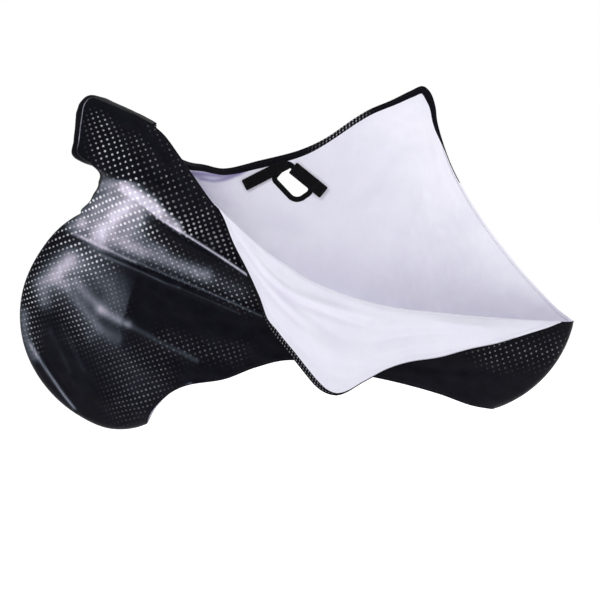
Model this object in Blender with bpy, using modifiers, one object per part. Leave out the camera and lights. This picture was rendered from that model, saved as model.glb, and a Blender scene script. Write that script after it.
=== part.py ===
# Fitted stretch cover for a bicycle, half opened.  Metres, +Z up.
# X runs along the cover (the handlebar pocket at -X), Y across it, and the near side is -Y.
# The tables give x and z in a working frame whose floor is the lowest point of the cover and whose
# x = 0 is mid length.  Every point is moved by -ORIGIN at the end, so that the finished model's
# origin is the spot under the cover's highest point, where it hangs from what it is drawn over.
import math

import bmesh
import bpy
import numpy as np
from mathutils import Vector
from mathutils.bvhtree import BVHTree

# ---- driving dimensions ---------------------------------------------------------------------------
CLOTH = 0.0020            # thickness of the doubled stretch cloth
SEAM_GAP = 0.0003         # gap that the sewn pieces keep at a seam
SEAM_LIFT = 0.0006        # how far past the seam line the head gusset lies
ORIGIN = (0.3600, 0.0320, 1.0110)

FRONT_ROUND = dict(x=-0.495, z=0.341, r=0.337)   # round of the front wheel pocket
REAR_ROUND = dict(x=0.473, z=0.389, r=0.344)     # round of the rear wheel pocket
REAR_ARC = (-72.0, -10.5)                        # degrees, from the rear hem to the end of the top opening
WHEEL_HALF = 0.0150                              # half width of a wheel pocket just inside its seam
WHEEL_WRAP = 0.0200                              # run in over which it reaches that width

FOLD_RADIUS = 0.0055      # outer radius of the turned-down fold
FLAP_CLEAR = 0.0070       # least distance between the flap and the cloth behind it

FLAT_X, FLAT_Z = -0.030, 0.735      # the cloth is drawn flat round the clamp opening
FLAT_Y, FLAT_DX, FLAT_DZ = 0.112, -0.10, 0.06
FLAT_FULL, FLAT_FADE = 0.135, 0.110

BINDING_WIDTH, BINDING_THICK = 0.0150, 0.0016
TAB_THICK = 0.0024

# ---- tables ---------------------------------------------------------------------------------------
# Seam between a side panel and the head gusset, from the top of the front wheel pocket round the
# handlebar pocket to its rear top corner.  Each row is also a row of points in the three sheets that meet there.
# half = distance from the mid plane.  bulge = how far the gusset stands out past the seam, along the
# direction out (degrees in the xz plane, 180 = forwards, 90 = up).
#     x        z       half    bulge   out
NECK = [
    (-0.6400, 0.6520, 0.0050, 0.0005, 120.0),
    (-0.6120, 0.6710, 0.0360, 0.0020, 135.0),
    (-0.5850, 0.6960, 0.0780, 0.0040, 150.0),
    (-0.5640, 0.7220, 0.1150, 0.0050, 165.0),
    (-0.5520, 0.7460, 0.1450, 0.0050, 185.0),
    (-0.5530, 0.7640, 0.1740, 0.0030, 215.0),
    (-0.5700, 0.7830, 0.1960, 0.0030, 235.0),
    (-0.6040, 0.8120, 0.2020, 0.0200, 200.0),
    (-0.6000, 0.8440, 0.2020, 0.0205, 182.0),
    (-0.5910, 0.9060, 0.2010, 0.0190, 175.0),
    (-0.5820, 0.9440, 0.2000, 0.0160, 160.0),
    (-0.5640, 0.9600, 0.1990, 0.0080, 115.0),
    (-0.5200, 0.9460, 0.1985, 0.0040, 72.0),
    (-0.4600, 0.9190, 0.1980, 0.0040, 66.0),
    (-0.4010, 0.8880, 0.2000, 0.0040, 62.0),
]
FAR_CORNER = dict(dx=-0.0450, dz=0.0190)   # the pocket's far rear corner sits further forwards and up

# Front wheel seam, from the front hem clockwise to the neck: how far it stands off the true round.
#   degrees  off
FRONT_ARC = [
    (-83.5, -0.0100),
    (-91.0, 0.0010),
    (-103.0, 0.0105),
    (-120.0, 0.0055),
    (-140.0, 0.0010),
    (-165.0, -0.0010),
    (-190.0, -0.0040),
    (-214.0, -0.0070),
    (-232.0, -0.0020),
    (-244.0, 0.0000),
]

# Near side: top edge.  Up to the row named root it is the free edge in front, then the fold line.
#            x       z      depth
NEAR_FREE = [
    (-0.3680, 0.8580, 0.190),
    (-0.3320, 0.8070, 0.177),
    (-0.2960, 0.7530, 0.163),
    (-0.2590, 0.6980, 0.150),
    (-0.2400, 0.6720, 0.144),
]
NEAR_FOLD = [
    (-0.2050, 0.6380, 0.137),
    (-0.1490, 0.5830, 0.126),
    (-0.0910, 0.5320, 0.118),
    (-0.0450, 0.5000, 0.113),
    (0.0280, 0.4520, 0.107),
    (0.1140, 0.4160, 0.101),
    (0.1720, 0.3960, 0.098),
    (0.2290, 0.3810, 0.095),
    (0.2870, 0.3695, 0.092),
    (0.4030, 0.3565, 0.087),
    (0.5190, 0.3445, 0.078),
    (0.6410, 0.3350, 0.052),
    (0.7190, 0.3305, 0.033),
    (0.7700, 0.3285, 0.021),
]
# Near side: hem of the turned-down flap, from the root to the rear end of the fold.
#            x       z      hang (how far the hem swings out from the fold)
FLAP_HEM = [
    (-0.2180, 0.6320, 0.001),
    (-0.1910, 0.5590, 0.003),
    (-0.1520, 0.4800, 0.004),
    (-0.1210, 0.4090, 0.006),
    (-0.0990, 0.3400, 0.008),
    (-0.0680, 0.2940, 0.010),
    (-0.0230, 0.2380, 0.012),
    (0.0230, 0.1790, 0.014),
    (0.0460, 0.1530, 0.016),
    (0.0720, 0.1350, 0.017),
    (0.1050, 0.1270, 0.018),
    (0.1340, 0.1360, 0.017),
    (0.1850, 0.1660, 0.015),
    (0.2570, 0.2030, 0.012),
    (0.3140, 0.2200, 0.011),
    (0.4010, 0.2330, 0.010),
    (0.4870, 0.2560, 0.009),
    (0.5740, 0.2730, 0.008),
    (0.6670, 0.2980, 0.006),
    (0.7300, 0.3150, 0.003),
]
FLAP_TIP = (0.1050, 0.1270)
# Open bottom hems between the two wheel pockets.
#            x       z      depth
NEAR_HEM = [
    (-0.4380, 0.0610, 0.030),
    (-0.3980, 0.1060, 0.042),
    (-0.3620, 0.1320, 0.052),
    (-0.3220, 0.1480, 0.060),
    (-0.2180, 0.1660, 0.074),
    (-0.1300, 0.2000, 0.082),
    (-0.0430, 0.2220, 0.086),
    (0.0600, 0.2150, 0.086),
    (0.1700, 0.1820, 0.080),
    (0.2910, 0.1520, 0.068),
    (0.4110, 0.1160, 0.048),
    (0.5050, 0.0800, 0.026),
]
FAR_HEM = [
    (-0.4360, 0.0570, 0.030),
    (-0.3700, 0.1150, 0.050),
    (-0.2600, 0.1550, 0.070),
    (-0.1300, 0.1850, 0.084),
    (0.0200, 0.2050, 0.090),
    (0.1600, 0.1850, 0.084),
    (0.3000, 0.1500, 0.068),
    (0.4200, 0.1120, 0.046),
    (0.5080, 0.0770, 0.024),
]
# Far side: top edge, from the handlebar pocket over the highest point down to the rear wheel pocket.
#            x       z      depth
FAR_TOP = [
    (-0.4190, 0.8610, 0.196),
    (-0.3860, 0.8180, 0.189),
    (-0.3420, 0.7970, 0.180),
    (-0.2960, 0.7900, 0.170),
    (-0.2330, 0.7780, 0.157),
    (-0.1220, 0.8020, 0.134),
    (0.0000, 0.8330, 0.112),
    (0.0770, 0.8680, 0.096),
    (0.1660, 0.9270, 0.078),
    (0.2080, 0.9510, 0.070),
    (0.2700, 0.9760, 0.058),
    (0.3250, 1.0020, 0.044),
    (0.3600, 1.0150, 0.034),
    (0.3820, 0.9960, 0.031),
    (0.3970, 0.9560, 0.032),
    (0.4040, 0.9100, 0.036),
    (0.4400, 0.8060, 0.049),
    (0.4770, 0.7330, 0.056),
    (0.5510, 0.6170, 0.060),
    (0.6640, 0.4740, 0.046),
    (0.7190, 0.4130, 0.033),
    (0.7700, 0.3600, 0.021),
]
# Where the cloth is pushed out or drawn in between its edges: a soft mound at x, z.
#   side      x       z      reach   height
MOUNDS = [
    ("near", -0.495, 0.341, 0.210, -0.016),   # drawn flat over the front wheel pocket
    ("near", -0.430, 0.780, 0.130, 0.006),    # side of the handlebar pocket
    ("near", 0.473, 0.300, 0.140, 0.018),     # middle of the rear wheel pocket
    ("far", -0.495, 0.341, 0.220, -0.006),
    ("far", 0.473, 0.389, 0.170, 0.024),
    ("far", 0.000, 0.330, 0.180, 0.026),      # middle of the cover, above the hem
    ("far", 0.250, 0.700, 0.200, 0.010),
]
# Main creases: a ridge (height > 0) or a valley (height < 0) along a short run of points.
#   side, half width, height, then the points (x, z)
CREASES = [
    ("near", 0.016, 0.013, [(-0.530, 0.705), (-0.440, 0.650), (-0.350, 0.590), (-0.255, 0.528), (-0.160, 0.470)]),
    ("near", 0.022, -0.012, [(-0.480, 0.645), (-0.400, 0.585), (-0.300, 0.520), (-0.190, 0.460)]),
    ("near", 0.014, 0.011, [(-0.665, 0.598), (-0.555, 0.540), (-0.440, 0.478), (-0.265, 0.415), (-0.110, 0.330)]),
    ("near", 0.018, -0.010, [(-0.600, 0.540), (-0.480, 0.478), (-0.330, 0.412), (-0.180, 0.360)]),
    ("near", 0.018, 0.009, [(-0.640, 0.430), (-0.555, 0.355), (-0.460, 0.290), (-0.345, 0.230)]),
    ("near", 0.010, 0.006, [(-0.790, 0.250), (-0.745, 0.165), (-0.690, 0.090)]),
    ("far", 0.022, -0.009, [(-0.300, 0.735), (-0.235, 0.745), (-0.165, 0.775)]),
    ("far", 0.030, 0.008, [(0.340, 0.930), (0.250, 0.780), (0.120, 0.640), (-0.050, 0.520)]),
    ("far", 0.030, -0.008, [(0.360, 0.860), (0.330, 0.700), (0.260, 0.520), (0.170, 0.380)]),
]
# Folds of the flap that fan out from its root: across runs from the fold line (0) to the hem (1).
#   across  half width  height
FLAP_FANS = [
    (0.20, 0.060, 0.003),
    (0.42, 0.055, -0.005),
    (0.62, 0.070, 0.004),
    (0.83, 0.050, -0.003),
]
# Diamond opening for the clamp, in the flat patch: corners x, z, corner radius.
OPENING = [
    (-0.0720, 0.7470, 0.006),
    (-0.0360, 0.7870, 0.006),
    (0.0300, 0.7130, 0.010),
    (-0.0120, 0.6840, 0.024),
]
# Flat tabs above the opening: the middle line's two ends, and the width.
#    name         x0      z0      x1      z1      width   level
TABS = [
    ("tab_front", -0.0360, 0.7940, -0.1700, 0.7260, 0.0350, 0),
    ("tab_rear", -0.0220, 0.7800, 0.0720, 0.7040, 0.0400, 1),
]

WHEEL_ROWS = 13           # rows of points round the front wheel pocket, before those of the neck
END_COLUMNS = (0.0, 0.0, 0.0012, 0.0035, 0.0085, 0.0220)   # close columns for the turn at a wheel seam
WIDEST_COLUMN = 0.075     # share of the top edge: a wider gap between two table rows gets one more column
SMOOTH_STEPS = 240
EDGE_PULL = 4             # how quickly the two ends let go of the columns between them
# Far side, so that no column folds back over its neighbour beside the neck and under the sag of the top edge.
NECK_PULL, NECK_PULL_ROW = 14, 20      # from this row up the columns leave the seam sooner
PLAIN_REACH, PLAIN_UP_TO = 0.20, 0.6   # the lower rows ignore the bend in the top edge's first part
EVEN_PASSES, EVEN_FADE = 2, 0.03       # passes that even out the rows beside the sharp turn of the seam


# ---- curves ---------------------------------------------------------------------------------------
def smooth_run(points, count=SMOOTH_STEPS, closed=False):
    """Even steps along a soft curve (centripetal Catmull-Rom) through the rows of a table."""
    p = np.asarray(points, float)
    if closed:
        p = np.vstack([p[-1], p, p[0], p[1]])
    else:
        p = np.vstack([2 * p[0] - p[1], p, 2 * p[-1] - p[-2]])
    knots = np.concatenate([[0.0], np.cumsum(np.sqrt(np.linalg.norm(np.diff(p, axis=0), axis=1)))])
    fine = []
    for i in range(1, len(p) - 2):
        t0, t1, t2, t3 = knots[i - 1:i + 3]
        for t in np.linspace(t1, t2, 24, endpoint=False):
            a1 = (t1 - t) / (t1 - t0) * p[i - 1] + (t - t0) / (t1 - t0) * p[i]
            a2 = (t2 - t) / (t2 - t1) * p[i] + (t - t1) / (t2 - t1) * p[i + 1]
            a3 = (t3 - t) / (t3 - t2) * p[i + 1] + (t - t2) / (t3 - t2) * p[i + 2]
            b1 = (t2 - t) / (t2 - t0) * a1 + (t - t0) / (t2 - t0) * a2
            b2 = (t3 - t) / (t3 - t1) * a2 + (t - t1) / (t3 - t1) * a3
            fine.append((t2 - t) / (t2 - t1) * b1 + (t - t1) / (t2 - t1) * b2)
    fine.append(p[-2])
    return resample(np.array(fine), count)


def resample(line, count=None, at=None):
    """The line at even shares of its length, or at the shares in at (0 to 1)."""
    run = np.concatenate([[0.0], np.cumsum(np.linalg.norm(np.diff(line[:, :2], axis=0), axis=1))])
    wanted = np.linspace(0, run[-1], count) if at is None else np.asarray(at) * run[-1]
    return np.stack([np.interp(wanted, run, line[:, k]) for k in range(line.shape[1])], axis=1)


def share_of(line, x, z):
    """How far along the line, as a share of its length, the point nearest to x, z lies."""
    run = np.concatenate([[0.0], np.cumsum(np.linalg.norm(np.diff(line[:, :2], axis=0), axis=1))])
    return run[np.argmin(np.hypot(line[:, 0] - x, line[:, 1] - z))] / run[-1]


def arc(round_, degrees, off=0.0):
    """Points x, z, depth 0 on a round at these angles, standing off it by off."""
    angles = np.radians(degrees)
    reach = round_["r"] + off
    return np.stack([round_["x"] + reach * np.cos(angles), round_["z"] + reach * np.sin(angles), 0 * angles], axis=1)


def soft_step(value):
    value = np.clip(value, 0, 1)
    return value * value * (3 - 2 * value)


def distance_to(line, x, z):
    """Distance in the xz plane from each point to a polyline, and how far along it (0 to 1)."""
    a, b = line[:-1, :2], line[1:, :2]
    d = b - a
    q = np.stack([x, z], axis=-1)[..., None, :]
    t = np.clip(((q - a) * d).sum(-1) / (d * d).sum(-1), 0, 1)
    gap = np.linalg.norm(q - (a + t[..., None] * d), axis=-1)
    best = gap.argmin(-1)
    along = (best + np.take_along_axis(t, best[..., None], -1)[..., 0]) / len(a)
    return gap.min(-1), along


# ---- side panels ----------------------------------------------------------------------------------
def seam_side(side):
    """The front edge of a side panel: the wheel seam, then the gusset seam.  x, z, depth, and 1 on the wheel seam."""
    degrees, off = smooth_run(FRONT_ARC).T
    at = np.linspace(FRONT_ARC[0][0], FRONT_ARC[-1][0], WHEEL_ROWS)
    wheel = arc(FRONT_ROUND, at, np.interp(-at, -degrees, off))
    rows = [(x, z, depth, 1.0) for x, z, depth in wheel]
    for i, (x, z, half, bulge, out) in enumerate(NECK):
        shift = corner_shift(i) if side == "far" else 0.0
        rows.append((x + FAR_CORNER["dx"] * shift, z + FAR_CORNER["dz"] * shift, half, 0.0))
    return np.array(rows)


def corner_shift(i):
    """Share of the far corner's offset at a row of the neck table: it grows over the last three rows."""
    return float(soft_step((i - (len(NECK) - 4)) / 3))


def edges_of(side):
    """Left, right, bottom and top edge of a side panel as lines of x, z, depth."""
    left = seam_side(side)
    right = arc(REAR_ROUND, np.linspace(*REAR_ARC, 60))
    hem = NEAR_HEM if side == "near" else FAR_HEM
    top = NEAR_FREE + NEAR_FOLD if side == "near" else FAR_TOP
    bottom_line = smooth_run([tuple(left[0, :3])] + hem + [tuple(right[0, :3])])
    top_line = smooth_run([tuple(left[-1, :3])] + top + [tuple(right[-1, :3])])
    return left, right, bottom_line, top_line


def column_shares(top_line, table):
    """Column positions from 0 to 1: one at each row of the top edge's table, and close ones at both ends."""
    inner = [share_of(top_line, row[0], row[1]) for row in table]
    inner = [v for v in inner if END_COLUMNS[-1] + 0.008 < v < 1 - END_COLUMNS[-1] - 0.008]
    marks = [END_COLUMNS[-1]] + inner + [1 - END_COLUMNS[-1]]
    filled = []
    for v0, v1 in zip(marks, marks[1:]):
        pieces = max(1, math.ceil((v1 - v0) / WIDEST_COLUMN))
        filled += [v0 + (v1 - v0) * k / pieces for k in range(pieces)]
    return np.array(list(END_COLUMNS[:-1]) + filled + [1 - v for v in reversed(END_COLUMNS)])


def depth_extra(side, x, z):
    extra = np.zeros_like(x)
    for where, mx, mz, reach, height in MOUNDS:
        if where == side:
            extra += height * np.exp(-((x - mx) ** 2 + (z - mz) ** 2) / (reach * reach))
    for where, half_width, height, points in CREASES:
        if where == side:
            line = smooth_run(points, 40)
            gap, along = distance_to(line, x, z)
            fade = np.sin(np.pi * np.clip(along, 0.02, 0.98)) ** 0.6
            extra += height * fade * np.exp(-(gap / half_width) ** 2)
    return extra


def panel_grid(side):
    """Grid of points of a side panel between its four edges.  Returns the grid, and u of each column."""
    left, right, bottom_line, top_line = edges_of(side)
    u = column_shares(top_line, NEAR_FREE + NEAR_FOLD if side == "near" else FAR_TOP)
    v = np.linspace(0, 1, len(left))
    rows = len(left)
    L = left
    R = resample(right, at=v)
    B = resample(bottom_line, at=u)
    T = resample(top_line, at=u)
    U, V = np.meshgrid(u, v)
    grid = np.empty((rows, len(u), 3))
    pull, plain_top, turn, passes = EDGE_PULL, T, 1.0, 0
    if side == "far":
        pull = EDGE_PULL + (NECK_PULL - EDGE_PULL) * soft_step((np.arange(rows) - NECK_PULL_ROW) / 4)[:, None]
        bend = np.array([np.interp(PLAIN_REACH, u, T[:, k]) for k in range(3)])
        plain_top = np.where(u[:, None] < PLAIN_REACH, T[0] + (bend - T[0]) * (u[:, None] / PLAIN_REACH), T)
        turn = np.clip((v - PLAIN_UP_TO) / (1 - PLAIN_UP_TO), 0, 1)[:, None] ** 2
        passes = EVEN_PASSES
    for k in range(3):
        upper = plain_top[None, :, k] + (T - plain_top)[None, :, k] * turn
        between = (1 - V) * B[None, :, k] + V * upper
        left_off = L[:, None, k] - ((1 - V) * B[0, k] + V * T[0, k])
        right_off = R[:, None, k] - ((1 - V) * B[-1, k] + V * T[-1, k])
        grid[:, :, k] = between + (1 - U) ** pull * left_off + U ** EDGE_PULL * right_off
    slack = soft_step(u / EVEN_FADE)[None, :, None] * soft_step((1 - u) / EVEN_FADE)[None, :, None]
    for _ in range(passes):
        grid[1:-1] += slack * 0.5 * ((grid[:-2] + grid[2:]) / 2 - grid[1:-1])
    x, z, depth = grid[:, :, 0], grid[:, :, 1], grid[:, :, 2]
    # extra depth, fading out at every edge
    fade = soft_step(U / 0.05) * soft_step((1 - U) / 0.05) * soft_step(V / 0.08 + 0.15) * soft_step((1 - V) / 0.10 + 0.10)
    depth += depth_extra(side, x, z) * fade
    # the turn at the wheel seam, on the rows that end there
    wheel_rows = np.clip(1 - (np.arange(rows) - WHEEL_ROWS + 1) / 4, 0, 1)[:, None]
    gap_left, _ = distance_to(left[:WHEEL_ROWS + 1, :2], x, z)
    gap_right, _ = distance_to(right[:, :2], x, z)
    depth += wheel_turn(gap_left) * soft_step((0.35 - U) / 0.2) * wheel_rows
    depth += wheel_turn(gap_right) * soft_step((U - 0.75) / 0.2)
    if side == "far":
        flat = 1 - soft_step((np.hypot(x - FLAT_X, z - FLAT_Z) - FLAT_FULL) / FLAT_FADE)
        depth += (flat_depth(x, z) - depth) * flat
    # both side panels stop short of the mid plane; off the wheel the second column steps along the cloth
    for j in range(rows):
        if L[j, 3] > 0:
            depth[j, 0], depth[j, 1] = SEAM_GAP / 2, 0.0032
        else:
            spread = min(1.0, (j - WHEEL_ROWS) / 3)
            for c in range(1, 5):
                even = grid[j, 0] + (grid[j, 5] - grid[j, 0]) * c / 5
                grid[j, c] += (even - grid[j, c]) * spread
            if spread == 0:
                grid[j, 1] = grid[j, 0] + (grid[j, 2] - grid[j, 0]) * 0.5
            depth[j, 1] = max(depth[j, 1], depth[j, 0] + 0.0006)
    depth[:, -1], depth[:, -2] = SEAM_GAP / 2, 0.0032
    return grid, u


def wheel_turn(gap):
    """Depth of the cloth at a distance in from a wheel seam."""
    share = 1 - np.clip(gap / WHEEL_WRAP, 0, 1)
    return WHEEL_HALF * np.sqrt(1 - share * share)


def flat_depth(x, z):
    return FLAT_Y + FLAT_DX * (x - FLAT_X) + FLAT_DZ * (z - FLAT_Z)


def placed(x, z, depth, side):
    sign = -1.0 if side == "near" else 1.0
    return np.stack([x - ORIGIN[0], sign * depth - ORIGIN[1], z - ORIGIN[2]], axis=-1)


def faces_of_grid(index, flip):
    quads = []
    for j in range(index.shape[0] - 1):
        for i in range(index.shape[1] - 1):
            quad = [index[j, i], index[j, i + 1], index[j + 1, i + 1], index[j + 1, i]]
            ring = [q for k, q in enumerate(quad) if q != quad[k - 1]]
            quads.append(ring[::-1] if flip else ring)
    return quads


def sheet_object(name, points, faces, material, thickness=CLOTH, outwards=False):
    """An open sheet given its thickness on the inner side, or on the outer one."""
    mesh = bpy.data.meshes.new(name)
    mesh.from_pydata([tuple(map(float, p)) for p in points], [], faces)
    mesh.validate()
    mesh.update()
    obj = bpy.data.objects.new(name, mesh)
    parts.objects.link(obj)
    mesh.materials.append(material)
    mesh.shade_smooth()
    solid = obj.modifiers.new("thickness", "SOLIDIFY")
    solid.thickness = thickness
    solid.offset = 1.0 if outwards else -1.0
    solid.use_even_offset = False
    return obj


def near_panel():
    grid, u = panel_grid("near")
    _, _, _, top_line = edges_of("near")
    points = list(placed(grid[..., 0], grid[..., 1], grid[..., 2], "near").reshape(-1, 3))
    index = np.arange(len(points)).reshape(grid.shape[:2])
    faces = faces_of_grid(index, False)
    stand = BVHTree.FromPolygons([tuple(p) for p in points], faces)

    # the turned-down flap: columns from the root to the rear end of the fold
    root = share_of(top_line, *NEAR_FREE[-1][:2])
    end = share_of(top_line, *NEAR_FOLD[-1][:2])
    first = int(np.argmin(np.abs(u - root)))
    last = int(np.argmin(np.abs(u - end)))
    top = grid[-1]
    hem = smooth_run([(*top[first][:2], 0.0)] + FLAP_HEM + [(*top[last][:2], 0.0)])
    span = (u[first:last + 1] - u[first]) / (u[last] - u[first])
    # one column meets the flap's tip, and the rest share out the hem on either side of it
    tip = share_of(hem, *FLAP_TIP)
    middle = span[int(np.argmin(np.abs(span - tip)))]
    hem_at = resample(hem, at=np.where(span <= middle, span * tip / middle, 1 - (1 - span) * (1 - tip) / (1 - middle)))
    turn = np.radians([50, 100, 150, 185])
    down = [0.10, 0.22, 0.35, 0.48, 0.61, 0.74, 0.87, 1.0]
    rows = len(turn) + len(down)
    flap = np.empty((rows + 1, last - first + 1), int)
    flap[0] = index[-1, first:last + 1]
    for c in range(last - first + 1):
        if c in (0, last - first):
            flap[:, c] = flap[0, c]
            continue
        at = top[first + c]
        size = min(1.0, 0.25 + 4 * min(span[c], 1 - span[c]))
        radius = FOLD_RADIUS * size
        fall = at[1] - hem_at[c, 1]
        for r in range(rows):
            if r < len(turn):
                x = at[0]
                z = at[1] + radius * math.sin(turn[r]) * 0.9
                depth = at[2] + radius * (1 - math.cos(turn[r]))
            else:
                w = down[r - len(turn)]
                x = at[0] + (hem_at[c, 0] - at[0]) * w
                z = at[1] + (hem_at[c, 1] - at[1]) * w
                depth = at[2] + 2 * radius + w * hem_at[c, 2]
                swell = min(1.0, fall / 0.08) * math.sin(math.pi * min(1, span[c] * 1.3))
                for place, half_width, height in FLAP_FANS:
                    depth += height * math.exp(-((w - place) / half_width) ** 2) * swell
                hit = stand.ray_cast(Vector((x - ORIGIN[0], -1.0, z - ORIGIN[2])), Vector((0, 1, 0)))[0]
                if hit is not None:
                    behind = -(hit.y + ORIGIN[1])
                    depth = max(depth, behind + 2 * radius * (1 - w) + FLAP_CLEAR * w + CLOTH * size)
            flap[r + 1, c] = len(points)
            points.append(placed(np.float64(x), np.float64(z), np.float64(depth), "near"))
    faces += [f for f in faces_of_grid(flap, False) if len(f) > 2]
    return sheet_object("near_panel", points, faces, CLOTH_BLACK)


def far_panel():
    grid, u = panel_grid("far")
    points = placed(grid[..., 0], grid[..., 1], grid[..., 2], "far").reshape(-1, 3)
    index = np.arange(len(points)).reshape(grid.shape[:2])
    return sheet_object("far_panel", points, faces_of_grid(index, True), CLOTH_BLACK)


# ---- head gusset ----------------------------------------------------------------------------------
def head_gusset():
    across = np.array([0, 0.012, 0.040, 0.10, 0.22, 0.36, 0.50, 0.64, 0.78, 0.90, 0.96, 0.988, 1.0])
    swell = 1 - np.abs(2 * across - 1) ** 24
    points = []
    for i, (x, z, half, bulge, out) in enumerate(NECK):
        out_x, out_z = math.cos(math.radians(out)), math.sin(math.radians(out))
        for s, e in zip(across, swell):
            far = s * corner_shift(i)
            lift = SEAM_LIFT + bulge * e + 0.004 * math.sin(math.pi * s) * min(1, half / 0.15)
            points.append((x + FAR_CORNER["dx"] * far + out_x * lift - ORIGIN[0],
                           (2 * s - 1) * half - ORIGIN[1],
                           z + FAR_CORNER["dz"] * far + out_z * lift - ORIGIN[2]))
    index = np.arange(len(points)).reshape(len(NECK), len(across))
    return sheet_object("head_gusset", points, faces_of_grid(index, True), CLOTH_PLAIN, outwards=True)


# ---- opening, binding and tabs --------------------------------------------------------------------
def rounded(corners, steps=6):
    """A closed outline with its corners rounded, from rows of x, z, radius."""
    ring = []
    for i, (x, z, radius) in enumerate(corners):
        here = np.array([x, z])
        before = np.array(corners[i - 1][:2]) - here
        after = np.array(corners[(i + 1) % len(corners)][:2]) - here
        before /= np.linalg.norm(before)
        after /= np.linalg.norm(after)
        half = math.acos(np.clip(before @ after, -1, 1)) / 2
        start = here + before * radius / math.tan(half)
        stop = here + after * radius / math.tan(half)
        middle = here + (before + after) / np.linalg.norm(before + after) * radius / math.sin(half)
        a, b = start - middle, stop - middle
        turn = math.atan2(a[0] * b[1] - a[1] * b[0], a @ b)
        for t in np.linspace(0, turn, steps):
            ring.append(middle + np.array([a[0] * math.cos(t) - a[1] * math.sin(t), a[0] * math.sin(t) + a[1] * math.cos(t)]))
    return np.array(ring)


def grown(ring, by):
    """The outline moved outwards by a fixed distance."""
    ahead = np.roll(ring, -1, axis=0) - np.roll(ring, 1, axis=0)
    normal = np.stack([-ahead[:, 1], ahead[:, 0]], axis=1)
    normal /= np.linalg.norm(normal, axis=1)[:, None]
    middle = ring.mean(axis=0)
    sign = np.sign(((ring - middle) * normal).sum())
    return ring + sign * normal * by


def on_patch(x, z, lift):
    """A point above the inner face of the flat patch by lift (towards the near side)."""
    return placed(np.float64(x), np.float64(z), np.float64(flat_depth(x, z) - CLOTH * 1.004 - lift), "far")


def opening_cutter():
    ring = rounded(OPENING)
    bm = bmesh.new()
    for depth in (0.03, 0.20):
        for x, z in ring:
            bm.verts.new(placed(np.float64(x), np.float64(z), np.float64(depth), "far"))
    bm.verts.ensure_lookup_table()
    n = len(ring)
    bm.faces.new([bm.verts[i] for i in range(n)])
    bm.faces.new([bm.verts[n + i] for i in range(n)][::-1])
    for i in range(n):
        j = (i + 1) % n
        bm.faces.new([bm.verts[j], bm.verts[i], bm.verts[n + i], bm.verts[n + j]])
    bmesh.ops.recalc_face_normals(bm, faces=bm.faces[:])
    mesh = bpy.data.meshes.new("opening_cutter")
    bm.to_mesh(mesh)
    bm.free()
    obj = bpy.data.objects.new("opening_cutter", mesh)
    cutters.objects.link(obj)
    obj.hide_render = True
    obj.display_type = "WIRE"
    return obj


def opening_binding():
    inner = rounded(OPENING)
    outer = grown(inner, BINDING_WIDTH)
    inner = grown(inner, 0.0006)
    points, n = [], len(inner)
    for ring in (inner, outer):
        points += [on_patch(x, z, SEAM_GAP + BINDING_THICK) for x, z in ring]
    faces = []
    for i in range(n):
        j = (i + 1) % n
        faces.append([i, j, n + j, n + i])
    obj = sheet_object("opening_binding", points, faces, TRIM_BLACK, BINDING_THICK)
    normals_towards_near(obj)
    return obj


def normals_towards_near(obj):
    bm = bmesh.new()
    bm.from_mesh(obj.data)
    bm.normal_update()
    if sum(f.normal.y for f in bm.faces) > 0:
        bmesh.ops.reverse_faces(bm, faces=bm.faces[:])
    bm.to_mesh(obj.data)
    bm.free()


def tab(name, x0, z0, x1, z1, width, level):
    lift = SEAM_GAP + BINDING_THICK + SEAM_GAP + TAB_THICK + level * (TAB_THICK + SEAM_GAP)
    along = np.array([x1 - x0, z1 - z0])
    length = np.linalg.norm(along)
    along /= length
    side = np.array([-along[1], along[0]])
    corners = []
    for s, w in ((0, -1), (0, 1), (1, 1), (1, -1)):
        at = np.array([x0, z0]) + along * length * s + side * w * width / 2
        corners.append((at[0], at[1], 0.003))
    ring = rounded(corners, 4)
    points = [on_patch(x, z, lift) for x, z in ring]
    obj = sheet_object(name, points, [list(range(len(ring)))], TRIM_BLACK, TAB_THICK)
    normals_towards_near(obj)
    return obj


# ---- materials ------------------------------------------------------------------------------------
def material(name, colour, roughness, metallic=0.0):
    made = bpy.data.materials.new(name)
    made.use_nodes = True
    shader = made.node_tree.nodes["Principled BSDF"]
    shader.inputs["Base Color"].default_value = (*colour, 1.0)
    shader.inputs["Roughness"].default_value = roughness
    shader.inputs["Metallic"].default_value = metallic
    return made


for old in list(bpy.data.objects):
    bpy.data.objects.remove(old, do_unlink=True)

parts = bpy.data.collections.new("bicycle_cover")
cutters = bpy.data.collections.new("cutters")
bpy.context.scene.collection.children.link(parts)
bpy.context.scene.collection.children.link(cutters)

CLOTH_BLACK = material("stretch_cloth", (0.020, 0.020, 0.028), 0.55)
CLOTH_PLAIN = material("plain_stretch_cloth", (0.014, 0.014, 0.018), 0.55)
TRIM_BLACK = material("black_trim", (0.010, 0.010, 0.011), 0.70)

near = near_panel()
far = far_panel()
cut = far.modifiers.new("clamp opening", "BOOLEAN")
cut.operation = "DIFFERENCE"
cut.object = opening_cutter()
gusset = head_gusset()
binding = opening_binding()
for row in TABS:
    tab(*row)
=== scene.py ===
# Fitted stretch cover for a bicycle, half opened: the visual model.  Metres, +Z up.
# The tables repeat those of the solids, in the same working frame (x = 0 mid length, z = 0 the lowest
# point), and every point is moved by -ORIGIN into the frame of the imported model.
import math

import bmesh
import bpy
import numpy as np
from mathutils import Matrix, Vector
from mathutils.bvhtree import BVHTree


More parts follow.
